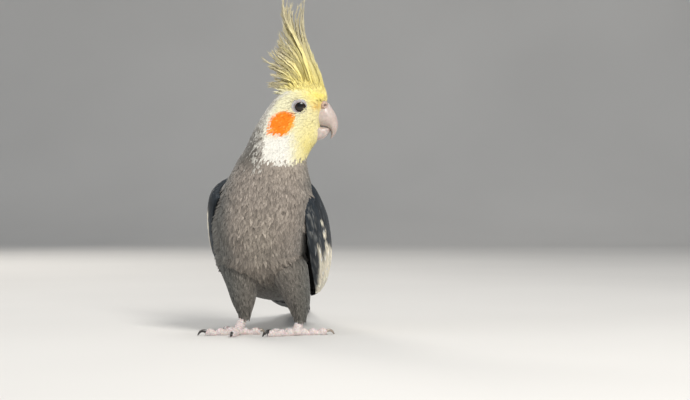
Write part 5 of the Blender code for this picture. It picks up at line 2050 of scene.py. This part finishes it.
class Feet:
    """Shanks, toes with their scales, and claws.

    Attributes:
        skin, groove, dark_claw, pale_claw: colours.
        sides: points round a limb.
        shank_rows, toe_rows, palm_grid, claw_grid: the grids.
        shank_scutes, toe_scutes: scutes of a shank, and of a millimetre of toe.
        toe_radius, toe_root, toe_past: of a toe, and where it starts and ends past its length.
        toe_swell: radius between the joints, what a joint adds and what the tip loses, as shares.
        toe_height: height of the toe's axis, as a share of its radius.
        toe_close: shares of the length where the root's rounding ends and the tip's begins, and
            how long the tip's is.
        scute_height: how far a scute rises, as a share of the radius.
        claw_row: the toe's row at which its claw starts.
        claw_thick: a claw's radius at its root, the power with which it shrinks and its least.
        claw_width, claw_shade: its width to its height, and how much darker its tip is.
        palm_half, palm_height: half sizes of the pad where the toes meet, and its height.
    """

    skin: Colour = (0.80, 0.71, 0.69)
    groove: Colour = (0.50, 0.38, 0.36)
    dark_claw: Colour = (0.035, 0.03, 0.028)
    pale_claw: Colour = (0.42, 0.36, 0.30)
    sides = 40
    shank_rows, toe_rows = 60, 90
    palm_grid, claw_grid = (40, 48), (40, 24)
    shank_scutes, toe_scutes = 11, 0.75
    toe_radius = 2.15
    toe_root = 1.0
    toe_past = 0.9
    toe_swell = (0.73, 0.40, 0.1)
    toe_height = 0.82
    toe_close = (0.07, 0.93, 0.075)
    scute_height = 0.085
    claw_row = 80
    claw_thick = (1.12, 0.75, 0.04)
    claw_width, claw_shade = 0.8, 0.35
    palm_half = (3.5, 3.4, 2.3)
    palm_height = 2.1

    def build(self) -> None:
        """Both feet."""
        for side in reversed(Side):
            word = side.word
            table = np.array(TARSI[word], float)
            shank = curve(table, np.linspace(0, len(table) - 1, self.shank_rows))
            points, pigment = self.scaled(shank[:, :3], shank[:, 3], self.shank_scutes, 0.08)
            make_grid("shank_scales_" + word, points, SCALES, pigment, "skin", "shank_" + word)
            self.palm(word)
            for row in TOES[word]:
                self.toe(word, Toe(*row))

    @staticmethod
    def rings(line: Array, radius: Array, side: Array, over: Array, angle: Array,
              flat: float = 1.0) -> Array:
        """Rings about a line, none of whose points is below the floor.

        Args:
            line: the rings' middles.
            radius: of each ring or point.
            side, over: two directions across the line at each ring.
            angle: the points' angles.
            flat: width to the side as a share of the radius.

        Returns:
            Points.
        """
        c, s = np.cos(angle)[:, None], np.sin(angle)[:, None]
        reach = flat * c * side[:, None] + s * over[:, None]
        return above_floor(line[:, None] + radius[..., None] * reach)

    def scaled(self, centres: Array, radii: Array, scutes: float, ends: float
               ) -> tuple[Array, Array]:
        """A limb with scutes across its upper side.

        Each scute is one tooth of a saw along the limb, raised at its far edge, and fades to
        plain skin underneath.

        Args:
            centres, radii: the limb's line.
            scutes: how many scutes it has.
            ends: share of the length that is left plain at the ends.

        Returns:
            Points and colours.
        """
        along = np.linspace(0, 1, len(centres))
        angle = turns(self.sides)
        tangent = unit(np.gradient(centres, axis=0))
        up = np.where(np.abs(tangent[:, 2:]) > 0.8, (0.0, -1.0, 0.0), (0.0, 0.0, 1.0))
        side = unit(np.cross(tangent, up))
        saw = (along * scutes) % 1.0
        plain = smoothstep(along, 0, ends) * smoothstep(1 - along, 0, ends)
        scaly = smoothstep(np.sin(angle), -0.35, 0.25) * plain[:, None]
        raised = (saw ** 1.5 - 0.4)[:, None] * scaly
        radius = radii[:, None] * (1 + self.scute_height * raised)
        points = self.rings(centres, radius, side, np.cross(side, tangent), angle)
        seam = glow((saw, 0.04, 0.09))[:, None] * scaly
        return points, blend(self.skin, self.groove, seam * 0.75)

    def palm(self, word: str) -> None:
        """The pad where the toes meet, as a flattened ball with low lumps."""
        _, _, ball = ball_grid(*self.palm_grid)
        grow = 1 + 0.06 * ripple(ball, 1.1, 31)
        points = ball * grow[..., None] * self.palm_half + (*FEET[word], self.palm_height)
        make_grid("palm_" + word, above_floor(points), SCALES, np.array(self.skin), "skin")

    def toe(self, word: str, toe: Toe) -> None:
        """One toe that swells at its joints and closes at both ends, and its claw."""
        heading = math.radians(toe.heading)
        ahead = np.array([math.sin(heading), -math.cos(heading)])
        t = np.linspace(0, 1, self.toe_rows)
        reach = between((self.toe_root, toe.length + self.toe_past), t)
        swell = 0.5 - 0.5 * np.cos(2 * np.pi * toe.pads * t)
        base, joint, loss = self.toe_swell
        radius = self.toe_radius * (base + joint * swell - loss * t)
        root, tip, tip_length = self.toe_close
        close = np.sqrt(np.clip(1 - ((t - tip) / tip_length).clip(0) ** 2, 0, 1))
        close = close * np.sqrt(np.clip(1 - (1 - t / root).clip(0) ** 2, 0, 1))
        spots = np.array(FEET[word]) + ahead * reach[:, None]
        centres = np.column_stack([spots, radius * self.toe_height])
        points, pigment = self.scaled(centres, radius * close + 0.02,
                                      toe.length * self.toe_scutes, 0.04)
        name = f"{word}_{toe.number}"
        make_grid("toe_scales_" + name, points, SCALES, pigment, "skin", "toe_" + name)
        self.claw(name, centres[self.claw_row], ahead, toe)

    def claw(self, name: str, start: Array, ahead: Array, toe: Toe) -> None:
        """A hooked claw, higher than wide, that gets darker to its tip."""
        t = np.linspace(0, 1, self.claw_grid[0])
        out = -0.2 + toe.claw * 0.66 * np.sin(np.minimum(1.75 * t, 1.57)) + 0.05 * toe.claw * t
        rise = start[2] + 1.35 * np.sin(np.pi * np.minimum(t * 1.4, 1)) - (start[2] - 0.3) * t ** 2
        line = np.column_stack([start[:2] + ahead * out[:, None], rise])
        widest, power, least = self.claw_thick
        thick = widest * (1 - t) ** power + least
        side = np.broadcast_to([ahead[1], -ahead[0], 0.0], line.shape)
        over = np.cross(side, unit(np.gradient(line, axis=0)))
        points = self.rings(line, thick[:, None], side, over, turns(self.claw_grid[1]),
                            self.claw_width)
        colour = np.array(self.pale_claw if toe.pale else self.dark_claw)
        pigment = (1 - self.claw_shade * t)[:, None, None] * colour
        make_grid("claw_horn_" + name, points, CLAW, pigment, "claw", "claw_" + name)


@dataclass(frozen=True)
class Studio:
    """Floor, light and camera. Distances are in metres.

    Attributes:
        azimuth: degrees the camera sits round from -Y towards +X.
        distance: from the bird's feet.
        height: of the camera over the floor.
        aside: how far the camera's axis passes to the right of the feet.
        lens, sensor: in millimetres.
        floor: the floor's colour.
        sweep_start, sweep: where the floor bends up behind the bird, and its radius there.
        panels: name, place, size, power and colour of each light.
        aim: what they are turned to.
        sky, sky_strength: the surround's colour and strength.
    """

    azimuth: float = 5.0
    distance: float = 0.85
    height: float = 0.0797
    aside: float = 0.0454
    lens: float = 75.2
    sensor: float = 36.0
    floor: Colour = (0.72, 0.71, 0.69)
    sweep_start: float = 1.6
    sweep: float = 0.7
    panels: tuple[tuple[str, Colour, float, float, Colour], ...] = (
        ("key", (0.55, -0.95, 0.95), 0.35, 15.0, (1.0, 0.97, 0.92)),
        ("fill", (-1.1, -0.7, 0.5), 0.9, 3.0, (0.93, 0.96, 1.0)),
        ("rim", (-0.7, 0.9, 0.8), 0.5, 6.0, (1.0, 0.95, 0.88)),
        ("top", (0.2, 0.1, 1.4), 0.8, 4.0, (1.0, 1.0, 1.0)),
    )
    aim: Colour = (0.0, 0.0, 0.08)
    sky: tuple[float, ...] = (0.85, 0.88, 0.92, 1.0)
    sky_strength: float = 0.32

    def build(self) -> None:
        """Everything round the bird."""
        self.ground()
        self.lights()
        self.camera()

    def ground(self) -> None:
        """A pale floor that sweeps up behind the bird, as one strip.

        The strip's profile is flat, then a quarter circle, then upright.
        """
        bend = np.linspace(0, np.pi / 2, 24)
        end = self.sweep_start + self.sweep
        y = np.concatenate([[-3.0], self.sweep_start + self.sweep * np.sin(bend), [end]])
        z = np.concatenate([[0.0], self.sweep * (1 - np.cos(bend)), [4.0]])
        x = np.array([-4.0, 4.0])
        points = np.stack([lattice(y, x)[1], lattice(y, x)[0], lattice(z, x)[0]], -1)
        points = points.reshape(-1, 3)
        mesh = bpy.data.meshes.new("floor")
        mesh.from_pydata(points.tolist(), [], grid_faces(len(y), 2, False)[:, ::-1].tolist())
        mesh.shade_smooth()
        made = bpy.data.objects.new("floor", mesh)
        bpy.context.scene.collection.objects.link(made)
        finish = bpy.data.materials.new("floor_paper")
        finish.use_nodes = True
        graph = Graph(finish.node_tree)
        shader = finish.node_tree.nodes["Principled BSDF"]
        noise = graph.noise(graph.node("TexCoord").outputs["Object"], scale=3.0)
        value = graph.spread(noise, *NOISE_RANGE, 0.97, 1.03)
        graph.feed(shader.inputs["Base Color"], graph.scale(self.floor, value))
        shader.inputs["Roughness"].default_value = 0.9
        mesh.materials.append(finish)

    def lights(self) -> None:
        """Four soft panels and a pale surround."""
        scene = bpy.context.scene
        for name, place, size, power, colour in self.panels:
            panel = bpy.data.lights.new(name, "AREA")
            panel.size = size
            panel.energy = power
            panel.color = colour
            made = bpy.data.objects.new(name, panel)
            made.location = place
            aim = Vector(self.aim) - Vector(place)
            made.rotation_euler = aim.to_track_quat("-Z", "Y").to_euler()
            scene.collection.objects.link(made)
        scene.view_settings.view_transform = "Standard"
        scene.world = bpy.data.worlds.new("surround")
        scene.world.use_nodes = True
        sky = scene.world.node_tree.nodes["Background"].inputs
        sky["Color"].default_value = self.sky
        sky["Strength"].default_value = self.sky_strength

    def camera(self) -> None:
        """The camera at the photo's angle, level and to the right of the bird."""
        angle = math.radians(self.azimuth)
        right = np.array([math.cos(angle), math.sin(angle), 0.0])
        back = np.array([math.sin(angle), -math.cos(angle), 0.0])
        feet = PLACE.metres(np.zeros(3))
        spot = feet + right * self.aside + back * self.distance
        lens = bpy.data.cameras.new("camera")
        lens.lens = self.lens
        lens.sensor_width = self.sensor
        lens.clip_start = 0.01
        made = bpy.data.objects.new("camera", lens)
        made.location = (spot[0], spot[1], self.height)
        made.rotation_euler = (math.pi / 2, 0.0, angle)
        bpy.context.scene.collection.objects.link(made)
        bpy.context.scene.camera = made


class Cockatiel:
    """The whole bird."""

    def __init__(self) -> None:
        self.rng = np.random.default_rng(SEED)

    def build(self) -> None:
        """Every piece, from the skin out."""
        body = Body(self.rng)
        body.skin()
        body.coat()
        body.flanks()
        body.shins()
        for side in Side:
            Wing(side, self.rng).build()
        Tail(self.rng).build()
        Crest(body, self.rng).build()
        Face(body).build()
        Feet().build()


def main() -> None:
    """Builds the bird and the studio."""
    logging.basicConfig(level=logging.INFO, format="%(name)s %(message)s")
    Cockatiel().build()
    Studio().build()


if __name__ == "__main__":
    main()
